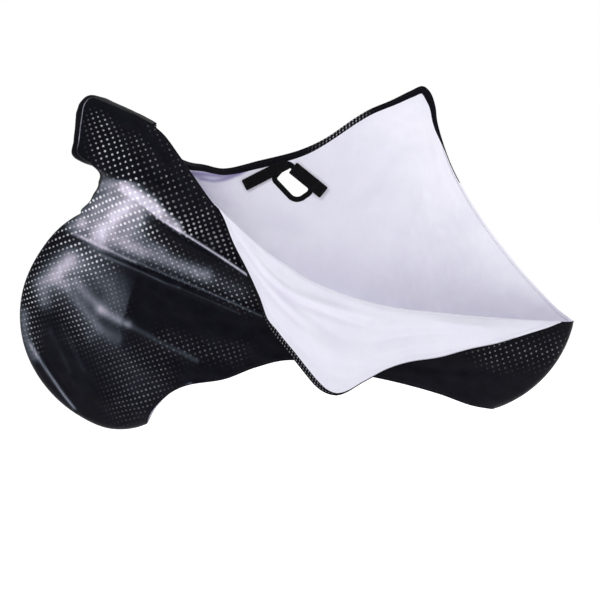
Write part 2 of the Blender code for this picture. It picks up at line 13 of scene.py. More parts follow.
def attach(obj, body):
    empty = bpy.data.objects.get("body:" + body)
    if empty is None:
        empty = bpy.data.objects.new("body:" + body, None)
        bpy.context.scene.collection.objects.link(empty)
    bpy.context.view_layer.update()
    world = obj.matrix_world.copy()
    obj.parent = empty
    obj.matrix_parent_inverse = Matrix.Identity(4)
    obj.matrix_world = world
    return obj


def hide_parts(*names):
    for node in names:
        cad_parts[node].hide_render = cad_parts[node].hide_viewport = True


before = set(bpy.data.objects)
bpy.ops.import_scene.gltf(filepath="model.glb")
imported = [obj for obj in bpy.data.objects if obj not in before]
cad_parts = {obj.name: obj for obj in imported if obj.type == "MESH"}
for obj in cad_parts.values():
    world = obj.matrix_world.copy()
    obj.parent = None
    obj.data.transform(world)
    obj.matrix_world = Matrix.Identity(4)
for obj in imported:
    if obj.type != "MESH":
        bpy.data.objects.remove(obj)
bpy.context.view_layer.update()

# ---- sizes ------------------------------------------------------------------------------------------
ORIGIN = (0.3600, 0.0320, 1.0110)
CLOTH = 0.0009            # the knit itself
HEM = 0.0018              # the knit turned over at a hem
HEM_WIDTH = 0.0120
SEAM_GAP = 0.0003
SEAM_LIFT = 0.0006

FRONT_ROUND = dict(x=-0.495, z=0.341, r=0.337)
REAR_ROUND = dict(x=0.473, z=0.389, r=0.344)
REAR_ARC = (-72.0, -10.5)
WHEEL_HALF = 0.0150
WHEEL_WRAP = 0.0200
FOLD_RADIUS = 0.0055
FLAP_CLEAR = 0.0070
FLAT_X, FLAT_Z = -0.030, 0.735
FLAT_Y, FLAT_DX, FLAT_DZ = 0.112, -0.10, 0.06
FLAT_FULL, FLAT_FADE = 0.135, 0.110
BINDING_WIDTH, BINDING_THICK = 0.0150, 0.0016
TAB_THICK = 0.0024

# ---- tables of the form -----------------------------------------------------------------------------
#     x        z       half    bulge   out
NECK = [
    (-0.6400, 0.6520, 0.0050, 0.0005, 120.0),
    (-0.6120, 0.6710, 0.0360, 0.0020, 135.0),
    (-0.5850, 0.6960, 0.0780, 0.0040, 150.0),
    (-0.5640, 0.7220, 0.1150, 0.0050, 165.0),
    (-0.5520, 0.7460, 0.1450, 0.0050, 185.0),
    (-0.5530, 0.7640, 0.1740, 0.0030, 215.0),
    (-0.5700, 0.7830, 0.1960, 0.0030, 235.0),
    (-0.6040, 0.8120, 0.2020, 0.0200, 200.0),
    (-0.6000, 0.8440, 0.2020, 0.0205, 182.0),
    (-0.5910, 0.9060, 0.2010, 0.0190, 175.0),
    (-0.5820, 0.9440, 0.2000, 0.0160, 160.0),
    (-0.5640, 0.9600, 0.1990, 0.0080, 115.0),
    (-0.5200, 0.9460, 0.1985, 0.0040, 72.0),
    (-0.4600, 0.9190, 0.1980, 0.0040, 66.0),
    (-0.4010, 0.8880, 0.2000, 0.0040, 62.0),
]
FAR_CORNER = dict(dx=-0.0450, dz=0.0190)
#   degrees  off the round
FRONT_ARC = [
    (-83.5, -0.0100),
    (-91.0, 0.0010),
    (-103.0, 0.0105),
    (-120.0, 0.0055),
    (-140.0, 0.0010),
    (-165.0, -0.0010),
    (-190.0, -0.0040),
    (-214.0, -0.0070),
    (-232.0, -0.0020),
    (-244.0, 0.0000),
]
#            x       z      depth
NEAR_FREE = [
    (-0.3680, 0.8580, 0.190),
    (-0.3320, 0.8070, 0.177),
    (-0.2960, 0.7530, 0.163),
    (-0.2590, 0.6980, 0.150),
    (-0.2400, 0.6720, 0.144),
]
NEAR_FOLD = [
    (-0.2050, 0.6380, 0.137),
    (-0.1490, 0.5830, 0.126),
    (-0.0910, 0.5320, 0.118),
    (-0.0450, 0.5000, 0.113),
    (0.0280, 0.4520, 0.107),
    (0.1140, 0.4160, 0.101),
    (0.1720, 0.3960, 0.098),
    (0.2290, 0.3810, 0.095),
    (0.2870, 0.3695, 0.092),
    (0.4030, 0.3565, 0.087),
    (0.5190, 0.3445, 0.078),
    (0.6410, 0.3350, 0.052),
    (0.7190, 0.3305, 0.033),
    (0.7700, 0.3285, 0.021),
]
#            x       z      hang
FLAP_HEM = [
    (-0.2180, 0.6320, 0.001),
    (-0.1910, 0.5590, 0.003),
    (-0.1520, 0.4800, 0.004),
    (-0.1210, 0.4090, 0.006),
    (-0.0990, 0.3400, 0.008),
    (-0.0680, 0.2940, 0.010),
    (-0.0230, 0.2380, 0.012),
    (0.0230, 0.1790, 0.014),
    (0.0460, 0.1530, 0.016),
    (0.0720, 0.1350, 0.017),
    (0.1050, 0.1270, 0.018),
    (0.1340, 0.1360, 0.017),
    (0.1850, 0.1660, 0.015),
    (0.2570, 0.2030, 0.012),
    (0.3140, 0.2200, 0.011),
    (0.4010, 0.2330, 0.010),
    (0.4870, 0.2560, 0.009),
    (0.5740, 0.2730, 0.008),
    (0.6670, 0.2980, 0.006),
    (0.7300, 0.3150, 0.003),
]
FLAP_TIP = (0.1050, 0.1270)
NEAR_HEM = [
    (-0.4380, 0.0610, 0.030),
    (-0.3980, 0.1060, 0.042),
    (-0.3620, 0.1320, 0.052),
    (-0.3220, 0.1480, 0.060),
    (-0.2180, 0.1660, 0.074),
    (-0.1300, 0.2000, 0.082),
    (-0.0430, 0.2220, 0.086),
    (0.0600, 0.2150, 0.086),
    (0.1700, 0.1820, 0.080),
    (0.2910, 0.1520, 0.068),
    (0.4110, 0.1160, 0.048),
    (0.5050, 0.0800, 0.026),
]
FAR_HEM = [
    (-0.4360, 0.0570, 0.030),
    (-0.3700, 0.1150, 0.050),
    (-0.2600, 0.1550, 0.070),
    (-0.1300, 0.1850, 0.084),
    (0.0200, 0.2050, 0.090),
    (0.1600, 0.1850, 0.084),
    (0.3000, 0.1500, 0.068),
    (0.4200, 0.1120, 0.046),
    (0.5080, 0.0770, 0.024),
]
FAR_TOP = [
    (-0.4190, 0.8610, 0.196),
    (-0.3860, 0.8180, 0.189),
    (-0.3420, 0.7970, 0.180),
    (-0.2960, 0.7900, 0.170),
    (-0.2330, 0.7780, 0.157),
    (-0.1220, 0.8020, 0.134),
    (0.0000, 0.8330, 0.112),
    (0.0770, 0.8680, 0.096),
    (0.1660, 0.9270, 0.078),
    (0.2080, 0.9510, 0.070),
    (0.2700, 0.9760, 0.058),
    (0.3250, 1.0020, 0.044),
    (0.3600, 1.0150, 0.034),
    (0.3820, 0.9960, 0.031),
    (0.3970, 0.9560, 0.032),
    (0.4040, 0.9100, 0.036),
    (0.4400, 0.8060, 0.049),
    (0.4770, 0.7330, 0.056),
    (0.5510, 0.6170, 0.060),
    (0.6640, 0.4740, 0.046),
    (0.7190, 0.4130, 0.033),
    (0.7700, 0.3600, 0.021),
]
#   side      x       z      reach   height
MOUNDS = [
    ("near", -0.495, 0.341, 0.210, -0.016),
    ("near", -0.430, 0.780, 0.130, 0.006),
    ("near", 0.473, 0.300, 0.140, 0.018),
    ("far", -0.495, 0.341, 0.220, -0.006),
    ("far", 0.473, 0.389, 0.170, 0.024),
    ("far", 0.000, 0.330, 0.180, 0.026),
    ("far", 0.250, 0.700, 0.200, 0.010),
]
#   side, half width, height, then the points (x, z)
CREASES = [
    # the broad ones, as in the solids
    ("near", 0.016, 0.011, [(-0.540, 0.716), (-0.440, 0.674), (-0.350, 0.610), (-0.255, 0.547), (-0.150, 0.478)]),
    ("near", 0.020, -0.011, [(-0.480, 0.655), (-0.400, 0.600), (-0.300, 0.535), (-0.190, 0.470)]),
    ("near", 0.014, 0.010, [(-0.665, 0.598), (-0.555, 0.543), (-0.432, 0.489), (-0.259, 0.423), (-0.109, 0.350)]),
    ("near", 0.018, -0.009, [(-0.600, 0.540), (-0.480, 0.478), (-0.330, 0.412), (-0.180, 0.355)]),
    ("near", 0.018, 0.008, [(-0.650, 0.440), (-0.555, 0.362), (-0.465, 0.302), (-0.345, 0.235)]),
    ("near", 0.010, 0.005, [(-0.802, 0.278), (-0.767, 0.214), (-0.710, 0.124), (-0.665, 0.065)]),
    ("far", 0.022, -0.009, [(-0.300, 0.735), (-0.235, 0.745), (-0.165, 0.775)]),
    ("far", 0.030, 0.008, [(0.340, 0.930), (0.250, 0.780), (0.120, 0.640), (-0.050, 0.520)]),
    ("far", 0.030, -0.008, [(0.360, 0.860), (0.330, 0.700), (0.260, 0.520), (0.170, 0.380)]),
    # the fine ones
    ("near", 0.006, 0.0050, [(-0.458, 0.684), (-0.416, 0.660), (-0.335, 0.598), (-0.239, 0.536), (-0.142, 0.473)]),
    ("near", 0.008, -0.0060, [(-0.448, 0.651), (-0.392, 0.617), (-0.309, 0.558), (-0.212, 0.502)]),
    ("near", 0.020, 0.0040, [(-0.520, 0.574), (-0.433, 0.526), (-0.346, 0.489), (-0.259, 0.452), (-0.172, 0.415)]),
    ("near", 0.0055, 0.0045, [(-0.664, 0.597), (-0.609, 0.568), (-0.549, 0.540), (-0.432, 0.489), (-0.259, 0.423), (-0.109, 0.357)]),
    ("near", 0.0055, -0.0065, [(-0.654, 0.579), (-0.593, 0.548), (-0.534, 0.517), (-0.418, 0.469), (-0.259, 0.406), (-0.173, 0.372)]),
    ("near", 0.007, 0.0030, [(-0.594, 0.537), (-0.549, 0.514), (-0.433, 0.463), (-0.274, 0.394), (-0.202, 0.362)]),
    ("near", 0.009, 0.0050, [(-0.646, 0.440), (-0.587, 0.397), (-0.553, 0.362), (-0.465, 0.302), (-0.348, 0.236), (-0.305, 0.204)]),
    ("near", 0.012, -0.0070, [(-0.574, 0.336), (-0.563, 0.306), (-0.539, 0.286), (-0.507, 0.272)]),
    ("near", 0.011, 0.0040, [(-0.670, 0.393), (-0.627, 0.341), (-0.584, 0.294), (-0.531, 0.260), (-0.466, 0.231)]),
    ("near", 0.0055, 0.0035, [(-0.802, 0.278), (-0.788, 0.243), (-0.767, 0.214), (-0.738, 0.169), (-0.710, 0.124), (-0.682, 0.087)]),
    ("near", 0.008, -0.0035, [(-0.777, 0.274), (-0.753, 0.229), (-0.722, 0.179), (-0.691, 0.131), (-0.651, 0.083)]),
    ("near", 0.009, 0.0022, [(-0.732, 0.304), (-0.704, 0.246), (-0.676, 0.180), (-0.649, 0.111)]),
    ("near", 0.009, 0.0020, [(-0.696, 0.320), (-0.668, 0.261), (-0.634, 0.187), (-0.607, 0.112)]),
    ("near", 0.012, 0.0035, [(-0.564, 0.927), (-0.549, 0.874), (-0.534, 0.820), (-0.519, 0.761)]),
    ("near", 0.012, 0.0040, [(-0.511, 0.915), (-0.486, 0.861), (-0.465, 0.807), (-0.440, 0.753)]),
    ("near", 0.012, 0.0035, [(-0.436, 0.875), (-0.398, 0.808), (-0.360, 0.740), (-0.307, 0.657)]),
    ("near", 0.010, -0.0035, [(-0.470, 0.890), (-0.440, 0.830), (-0.405, 0.770), (-0.360, 0.700)]),
    ("near", 0.010, 0.0030, [(-0.321, 0.643), (-0.266, 0.606), (-0.225, 0.572), (-0.181, 0.527)]),
    ("near", 0.009, 0.0055, [(-0.585, 0.784), (-0.548, 0.766), (-0.512, 0.750), (-0.467, 0.744), (-0.425, 0.735), (-0.385, 0.718), (-0.358, 0.686)]),
    ("near", 0.008, -0.0050, [(-0.580, 0.768), (-0.548, 0.752), (-0.512, 0.736), (-0.467, 0.730), (-0.425, 0.720), (-0.392, 0.702), (-0.372, 0.676)]),
    ("near", 0.012, 0.0030, [(-0.600, 0.655), (-0.560, 0.665), (-0.520, 0.690)]),
    ("near", 0.010, -0.0030, [(-0.575, 0.600), (-0.530, 0.630), (-0.480, 0.672)]),
    ("near", 0.016, 0.0030, [(0.430, 0.230), (0.540, 0.215), (0.660, 0.240)]),
    ("near", 0.014, -0.0030, [(0.300, 0.210), (0.450, 0.190), (0.600, 0.200)]),
    ("far", 0.010, -0.0050, [(-0.307, 0.742), (-0.260, 0.738), (-0.220, 0.746), (-0.160, 0.772)]),
    ("far", 0.012, 0.0040, [(-0.300, 0.715), (-0.240, 0.715), (-0.170, 0.735)]),
    ("far", 0.012, 0.0020, [(-0.170, 0.690), (-0.120, 0.600), (-0.060, 0.470)]),
    ("far", 0.012, -0.0020, [(-0.060, 0.650), (-0.040, 0.560), (0.000, 0.450)]),
    ("far", 0.012, 0.0020, [(0.020, 0.660), (0.060, 0.580), (0.120, 0.470)]),
    ("far", 0.016, 0.0025, [(0.400, 0.900), (0.420, 0.760), (0.480, 0.620), (0.570, 0.480)]),
    ("far", 0.016, -0.0025, [(0.370, 0.880), (0.380, 0.740), (0.430, 0.600), (0.520, 0.450)]),
    ("far", 0.014, 0.0025, [(0.200, 0.900), (0.160, 0.800), (0.100, 0.700)]),
]
#   across  half width  height
FLAP_FANS = [
    (0.20, 0.060, 0.0018),
    (0.42, 0.055, -0.0024),
    (0.62, 0.070, 0.0020),
    (0.83, 0.050, -0.0014),
]
# Folds that run out from the root of the flap: half width, height, then the points (x, z).
FLAP_FOLDS = [
    (0.0090, 0.0085, [(-0.199, 0.618), (-0.140, 0.545), (-0.104, 0.493), (-0.065, 0.455), (-0.017, 0.421), (0.062, 0.392), (0.223, 0.348)]),
    (0.0080, -0.0085, [(-0.170, 0.566), (-0.104, 0.473), (-0.065, 0.433), (-0.023, 0.401), (0.051, 0.369), (0.171, 0.326)]),
    (0.0090, -0.0065, [(-0.190, 0.585), (-0.145, 0.511), (-0.106, 0.448), (-0.055, 0.386), (0.010, 0.322)]),
    (0.0110, 0.0060, [(-0.175, 0.575), (-0.126, 0.500), (-0.082, 0.440), (-0.030, 0.380), (0.040, 0.330)]),
    (0.0300, 0.0035, [(0.000, 0.300), (0.120, 0.260), (0.260, 0.270)]),
    (0.0200, -0.0030, [(-0.090, 0.360), (-0.020, 0.280), (0.060, 0.220)]),
]
OPENING = [
    (-0.0720, 0.7470, 0.006),
    (-0.0360, 0.7870, 0.006),
    (0.0300, 0.7130, 0.010),
    (-0.0120, 0.6840, 0.024),
]
#    name         x0      z0      x1      z1      width   level
TABS = [
    ("tab_front", -0.0360, 0.7940, -0.1700, 0.7260, 0.0350, 0),
    ("tab_rear", -0.0220, 0.7800, 0.0720, 0.7040, 0.0400, 1),
]

WHEEL_ROWS = 13
ROW_STEPS = 6             # fine rows between two rows of the solids
#   share of the length, spacing of the columns there
NEAR_COLUMNS = [(0.0, 0.0004), (0.006, 0.0016), (0.020, 0.0028), (0.300, 0.0030), (0.380, 0.0072), (0.970, 0.0072), (0.992, 0.0020), (1.0, 0.0005)]
FAR_COLUMNS = [(0.0, 0.0004), (0.006, 0.0016), (0.020, 0.0046), (0.300, 0.0046), (0.600, 0.0050), (0.970, 0.0050), (0.992, 0.0020), (1.0, 0.0005)]
SMOOTH_STEPS = 600
EDGE_PULL = 4
NECK_PULL, NECK_PULL_ROW = 14, 20    # the far panel's upper rows leave the seam line sooner, from this row up
PLAIN_REACH, PLAIN_UP_TO = 0.20, 0.6  # its lower rows ignore the bend in the top line's first part
EVEN_PASSES, EVEN_FADE = 60, 0.03    # passes that even out the rows of cloth beside the sharp turn at the neck

# ---- tables of the print ----------------------------------------------------------------------------
# Strokes: half width, strength, then the points (x, z).  The tables give in turn the pale ground (partly print, partly
# painted sheen), the brightness of the dots (partly print, partly painted light), painted shade that takes both away
# again, and FULL, which makes the dots larger.
# Pale ground of the print with painted sheen: broad glowing zones, and thin painted highlights on the crests of the
# folds.
PRINT_AND_SHEEN = [
    (0.0203, 0.87, [(-0.484, 0.717), (-0.447, 0.698), (-0.415, 0.676)]),
    (0.0130, 0.84, [(-0.415, 0.676), (-0.389, 0.654)]),
    (0.0110, 0.78, [(-0.464, 0.698), (-0.415, 0.665), (-0.373, 0.632), (-0.335, 0.602)]),
    (0.0348, 0.22, [(-0.567, 0.568), (-0.515, 0.569), (-0.478, 0.581)]),
    (0.0174, 0.26, [(-0.453, 0.581), (-0.425, 0.561), (-0.393, 0.541)]),
    (0.0099, 0.52, [(-0.415, 0.676), (-0.373, 0.646), (-0.340, 0.618)]),
    (0.0046, 0.92, [(-0.499, 0.715), (-0.468, 0.696), (-0.427, 0.667), (-0.390, 0.633), (-0.339, 0.602)]),
    (0.0043, 0.84, [(-0.339, 0.602), (-0.280, 0.563), (-0.220, 0.523), (-0.172, 0.489), (-0.150, 0.473)]),
    (0.0319, 0.96, [(-0.585, 0.580), (-0.559, 0.609), (-0.515, 0.647), (-0.472, 0.673)]),
    (0.0377, 0.56, [(-0.628, 0.620), (-0.580, 0.661), (-0.528, 0.698)]),
    (0.0319, 0.50, [(-0.520, 0.580), (-0.470, 0.616), (-0.440, 0.642)]),
    (0.0174, 0.42, [(-0.670, 0.605), (-0.628, 0.617)]),
    (0.0174, 0.42, [(-0.585, 0.724), (-0.528, 0.731), (-0.478, 0.720)]),
    (0.0232, 0.28, [(-0.561, 0.560), (-0.506, 0.549), (-0.456, 0.529)]),
    (0.0232, 0.40, [(-0.497, 0.551), (-0.444, 0.534), (-0.389, 0.512), (-0.331, 0.489), (-0.272, 0.470)]),
    (0.0319, 0.20, [(-0.462, 0.540), (-0.374, 0.506), (-0.273, 0.464), (-0.172, 0.421)]),
    (0.0064, 0.72, [(-0.657, 0.589), (-0.603, 0.561), (-0.561, 0.543)]),
    (0.0041, 0.60, [(-0.561, 0.543), (-0.514, 0.521), (-0.473, 0.507)]),
    (0.0035, 0.36, [(-0.473, 0.507), (-0.398, 0.478), (-0.320, 0.444), (-0.216, 0.400), (-0.109, 0.351)]),
    (0.0035, 0.38, [(-0.579, 0.528), (-0.549, 0.515), (-0.476, 0.484), (-0.407, 0.453), (-0.350, 0.431)]),
    (0.0035, 0.24, [(-0.350, 0.431), (-0.274, 0.400), (-0.173, 0.357)]),
    (0.0377, 0.77, [(-0.717, 0.460), (-0.696, 0.484), (-0.669, 0.507)]),
    (0.0290, 0.42, [(-0.760, 0.436), (-0.748, 0.393)]),
    (0.0188, 0.44, [(-0.652, 0.446), (-0.617, 0.406), (-0.582, 0.368)]),
    (0.0145, 0.46, [(-0.582, 0.368), (-0.544, 0.345), (-0.500, 0.325)]),
    (0.0087, 0.26, [(-0.500, 0.325), (-0.450, 0.299), (-0.404, 0.273), (-0.348, 0.245), (-0.299, 0.219)]),
    (0.0174, 0.42, [(-0.682, 0.440), (-0.652, 0.394), (-0.609, 0.341), (-0.575, 0.306), (-0.533, 0.280)]),
    (0.0261, 0.16, [(-0.700, 0.417), (-0.665, 0.358), (-0.613, 0.291)]),
    (0.0174, 0.40, [(-0.812, 0.355), (-0.811, 0.302), (-0.800, 0.258), (-0.786, 0.222)]),
    (0.0052, 0.66, [(-0.796, 0.261), (-0.767, 0.214), (-0.732, 0.160), (-0.699, 0.109), (-0.671, 0.069)]),
    (0.0406, 0.09, [(-0.747, 0.319), (-0.704, 0.246), (-0.648, 0.142)]),
    (0.0035, 0.50, [(-0.448, 0.037), (-0.426, 0.070), (-0.399, 0.101), (-0.356, 0.135), (-0.317, 0.154)]),
    (0.0072, 0.12, [(-0.732, 0.304), (-0.704, 0.246), (-0.676, 0.180)]),
    (0.0072, 0.10, [(-0.696, 0.320), (-0.668, 0.261), (-0.634, 0.187)]),
    (0.0116, 0.10, [(-0.551, 0.887), (-0.529, 0.820), (-0.509, 0.761)]),
    (0.0116, 0.12, [(-0.508, 0.907), (-0.481, 0.848), (-0.453, 0.788)]),
    (0.0696, 0.13, [(-0.570, 0.262), (-0.511, 0.204), (-0.468, 0.145)]),
    (0.0261, 0.34, [(-0.513, 0.815), (-0.487, 0.777), (-0.464, 0.742)]),
]
# A blue-grey part of the pale ground, partly print and partly painted sheen.
SLATE_PRINT_AND_SHEEN = [
    (0.0640, 0.345, [(-0.604, 0.487), (-0.557, 0.438), (-0.534, 0.385)]),
]
# Lower edge of the handlebar pocket, where the pale ground begins: print with painted sheen, which the pocket above
# lacks.
POCKET_EDGE = [(-0.606, 0.787), (-0.548, 0.759), (-0.512, 0.743), (-0.467, 0.737), (-0.425, 0.728), (-0.387, 0.712), (-0.366, 0.682), (-0.340, 0.648), (-0.308, 0.615)]
# Where that blue-grey zone ends at a painted shadow edge.
SLATE_SHADOW_EDGE = [(-0.464, 0.489), (-0.481, 0.438), (-0.496, 0.395), (-0.503, 0.360), (-0.520, 0.331)]
# Brightness of the dots: partly print, partly painted light, brightest where the painted sheen is strongest.
INK_AND_SHEEN = [
    (0.0261, 0.62, [(-0.545, 0.917), (-0.525, 0.880), (-0.504, 0.848), (-0.476, 0.804), (-0.450, 0.761)]),
    (0.0232, 0.40, [(-0.565, 0.887), (-0.550, 0.834), (-0.530, 0.780)]),
    (0.0377, 0.66, [(-0.529, 0.826), (-0.498, 0.783), (-0.467, 0.745)]),
    (0.0232, 0.40, [(-0.443, 0.856), (-0.417, 0.808), (-0.386, 0.761), (-0.349, 0.718)]),
    (0.0232, 0.30, [(-0.366, 0.684), (-0.302, 0.651), (-0.261, 0.603), (-0.203, 0.550), (-0.170, 0.510)]),
    (0.0261, 0.30, [(-0.308, 0.623), (-0.253, 0.572), (-0.203, 0.527)]),
    (0.0232, 0.36, [(-0.408, 0.880), (-0.367, 0.821), (-0.326, 0.761), (-0.283, 0.707), (-0.246, 0.651), (-0.208, 0.578), (-0.170, 0.504)]),
    (0.0261, 0.40, [(-0.429, 0.851), (-0.382, 0.802), (-0.340, 0.742), (-0.298, 0.684), (-0.269, 0.645)]),
    (0.0232, 1.00, [(-0.484, 0.717), (-0.447, 0.696), (-0.415, 0.673), (-0.383, 0.646)]),
    (0.0580, 1.00, [(-0.599, 0.669), (-0.552, 0.670), (-0.476, 0.670)]),
    (0.0522, 0.90, [(-0.610, 0.611), (-0.517, 0.612), (-0.438, 0.622)]),
    (0.0290, 0.75, [(-0.415, 0.671), (-0.362, 0.635), (-0.308, 0.595)]),
    (0.0522, 0.62, [(-0.683, 0.602), (-0.745, 0.509), (-0.773, 0.421)]),
    (0.0464, 0.80, [(-0.653, 0.553), (-0.618, 0.504), (-0.681, 0.452)]),
    (0.0435, 0.36, [(-0.586, 0.464), (-0.546, 0.424), (-0.529, 0.377)]),
    (0.0261, 0.46, [(-0.427, 0.596), (-0.391, 0.567), (-0.360, 0.545)]),
    (0.0348, 0.58, [(-0.792, 0.421), (-0.797, 0.332), (-0.777, 0.259)]),
    (0.0406, 0.62, [(-0.535, 0.568), (-0.433, 0.529), (-0.288, 0.463), (-0.150, 0.398)]),
    (0.0232, 0.50, [(-0.609, 0.516), (-0.551, 0.488)]),
    (0.0348, 0.45, [(-0.712, 0.393), (-0.671, 0.358), (-0.631, 0.312)]),
    (0.0696, 0.30, [(-0.643, 0.306), (-0.570, 0.262), (-0.527, 0.174), (-0.515, 0.083)]),
    (0.0522, 0.34, [(-0.466, 0.219), (-0.408, 0.185), (-0.439, 0.115)]),
    (0.0406, 0.36, [(-0.392, 0.279), (-0.290, 0.257), (-0.188, 0.246)]),
    (0.0580, 0.42, [(0.565, 0.260), (0.673, 0.241), (0.751, 0.244)]),
    (0.0290, 0.20, [(0.491, 0.253), (0.583, 0.205)]),
]
# Painted shade, mostly in the valleys of the folds and in dark patches: it takes away the pale ground and the dot
# brightness.
SHADE_STROKES = [
    (0.0203, 1.00, [(-0.563, 0.951), (-0.475, 0.912), (-0.410, 0.853), (-0.363, 0.786)]),
    (0.0174, 0.60, [(-0.363, 0.786), (-0.319, 0.726), (-0.279, 0.676)]),
    (0.0145, 0.90, [(-0.427, 0.631), (-0.380, 0.600), (-0.324, 0.564), (-0.248, 0.522)]),
    (0.0064, 0.95, [(-0.654, 0.577), (-0.593, 0.545), (-0.535, 0.514), (-0.476, 0.488), (-0.418, 0.466), (-0.346, 0.437), (-0.259, 0.403)]),
    (0.0580, 0.90, [(-0.435, 0.395), (-0.333, 0.367), (-0.231, 0.324)]),
    (0.0435, 0.85, [(-0.734, 0.260), (-0.691, 0.186), (-0.649, 0.111)]),
    (0.0145, 0.80, [(-0.574, 0.330), (-0.548, 0.295), (-0.513, 0.272)]),
]
FULL = [
    (0.0700, 0.0013, [(-0.570, 0.690), (-0.508, 0.660), (-0.450, 0.642)]),
    (0.0500, 0.0010, [(-0.415, 0.671), (-0.321, 0.606), (-0.239, 0.572)]),
    (0.0400, 0.0008, [(-0.640, 0.553), (-0.600, 0.530)]),
]
# The far panel's outer side: pale ground and dot brightness of the same kind, partly print and partly painted sheen.
FAR_PRINT_AND_SHEEN = [
    (0.0500, 0.45, [(-0.560, 0.560), (-0.480, 0.640)]),
    (0.0400, 0.35, [(-0.720, 0.480), (-0.660, 0.420)]),
    (0.0600, 0.30, [(0.150, 0.800), (0.280, 0.860)]),
    (0.0500, 0.35, [(0.480, 0.560), (0.560, 0.480)]),
    (0.0400, 0.25, [(-0.100, 0.560), (0.020, 0.500)]),
]
FAR_INK_AND_SHEEN = [
    (0.1100, 0.85, [(-0.600, 0.520), (-0.520, 0.640)]),
    (0.0900, 0.60, [(-0.700, 0.350), (-0.560, 0.250)]),
    (0.0900, 0.50, [(-0.560, 0.860), (-0.480, 0.760)]),
    (0.1300, 0.60, [(-0.100, 0.600), (0.100, 0.680), (0.280, 0.860)]),
    (0.1000, 0.70, [(0.420, 0.640), (0.560, 0.460)]),
    (0.0900, 0.40, [(0.450, 0.250), (0.700, 0.250)]),
]
# Spacing of the dots along their rows and across them: place, spacing.  The rows rise by DOT_TURN.
DOT_TURN = math.radians(18.0)
ALONG_ROWS = [(-0.90, 0.0092), (-0.70, 0.0102), (-0.55, 0.0115), (-0.40, 0.0128), (-0.20, 0.0150), (0.10, 0.0160), (0.90, 0.0165)]
ACROSS_ROWS = [(-0.30, 0.0165), (0.05, 0.0160), (0.30, 0.0145), (0.50, 0.0140), (0.66, 0.0145), (0.77, 0.0176), (0.86, 0.0165), (0.97, 0.0138), (1.30, 0.0135)]

# Black facing turned over the inner side of an edge: share of that edge's length, width.
NEAR_FACING = [(0.00, 0.016), (0.14, 0.012), (0.170, 0.0060), (0.172, 0.0), (1.0, 0.0)]
FLAP_FACING = [(0.00, 0.0050), (0.10, 0.0065), (0.20, 0.0070), (0.26, 0.0095), (0.29, 0.0150), (0.44, 0.0155), (0.485, 0.0070), (0.52, 0.0030), (0.70, 0.0022), (1.0, 0.0015)]
FAR_FACING = [(0.00, 0.020), (0.05, 0.024), (0.14, 0.020), (0.22, 0.024), (0.30, 0.020), (0.345, 0.015), (0.40, 0.0165), (0.455, 0.0165), (0.50, 0.020), (0.545, 0.022), (0.560, 0.0175), (0.60, 0.0120), (0.625, 0.0050), (0.640, 0.0030), (0.690, 0.0028), (0.700, 0.0), (1.0, 0.0)]
# Painted shade, lavender, on the inner side: half width, strength, points.
FAR_SHADE = [
    (0.0140, 0.85, [(-0.335, 0.762), (-0.290, 0.760), (-0.235, 0.757), (-0.185, 0.770)]),
    (0.0060, 0.75, [(-0.307, 0.747), (-0.260, 0.740), (-0.220, 0.748), (-0.162, 0.773)]),
    (0.0500, 0.08, [(0.250, 0.430), (0.340, 0.400), (0.400, 0.370)]),
    (0.0350, 0.16, [(0.640, 0.400), (0.735, 0.350)]),
    (0.0800, 0.10, [(-0.050, 0.600), (0.050, 0.560)]),
]
# Painted shade laid evenly over the inner side of the flap and the far panel, and where the far panel's inner side has
# less of it, lighter towards its rims.
PLAIN_SHADE = 0.15
FAR_BRIGHT = [
    (0.1100, 1.0, [(-0.158, 0.694), (-0.116, 0.643), (-0.067, 0.592), (-0.012, 0.562)]),
    (0.0900, 1.0, [(0.318, 0.912), (0.365, 0.882), (0.403, 0.801), (0.426, 0.712)]),
    (0.0600, 1.0, [(0.561, 0.569), (0.616, 0.497), (0.677, 0.413)]),
]
# Painted shade along the folds of the flap's inner side.
FLAP_SHADE = [
    (0.0075, 0.20, [(-0.170, 0.566), (-0.104, 0.471), (-0.065, 0.431), (-0.023, 0.399), (0.051, 0.367), (0.171, 0.326)]),
    (0.0075, 0.17, [(-0.190, 0.585), (-0.145, 0.511), (-0.106, 0.448), (-0.055, 0.386), (0.010, 0.322)]),
]


# ---- curves -----------------------------------------------------------------------------------------
def smooth_run(points, count=SMOOTH_STEPS):
    """Even steps along a soft curve (centripetal Catmull-Rom) through the rows of a table."""
    rows = len(points)
    return resample(spline_rows(points, np.linspace(0, rows - 1, (rows - 1) * 24 + 1)), count)


def spline_rows(points, at):
    """The same soft curve at fractional row numbers."""
    p = np.asarray(points, float)
    q = np.vstack([2 * p[0] - p[1], p, 2 * p[-1] - p[-2]])
    step = np.sqrt(np.maximum(np.linalg.norm(np.diff(q[:, :3], axis=0), axis=1), 1e-9))
    knots = np.concatenate([[0.0], np.cumsum(step)])
    at = np.clip(np.asarray(at, float), 0, len(p) - 1 - 1e-9)
    i = at.astype(int)
    t0, t1, t2, t3 = (knots[i + k] for k in range(4))
    t = t1 + (at - i) * (t2 - t1)

    def mix(ta, tb, a, b):
        return ((tb - t) / (tb - ta))[:, None] * a + ((t - ta) / (tb - ta))[:, None] * b

    a1 = mix(t0, t1, q[i], q[i + 1])
    a2 = mix(t1, t2, q[i + 1], q[i + 2])
    a3 = mix(t2, t3, q[i + 2], q[i + 3])
    return mix(t1, t2, mix(t0, t2, a1, a2), mix(t1, t3, a2, a3))


def resample(line, count=None, at=None):
    run = np.concatenate([[0.0], np.cumsum(np.linalg.norm(np.diff(line[:, :2], axis=0), axis=1))])
    wanted = np.linspace(0, run[-1], count) if at is None else np.asarray(at) * run[-1]
    return np.stack([np.interp(wanted, run, line[:, k]) for k in range(line.shape[1])], axis=1)


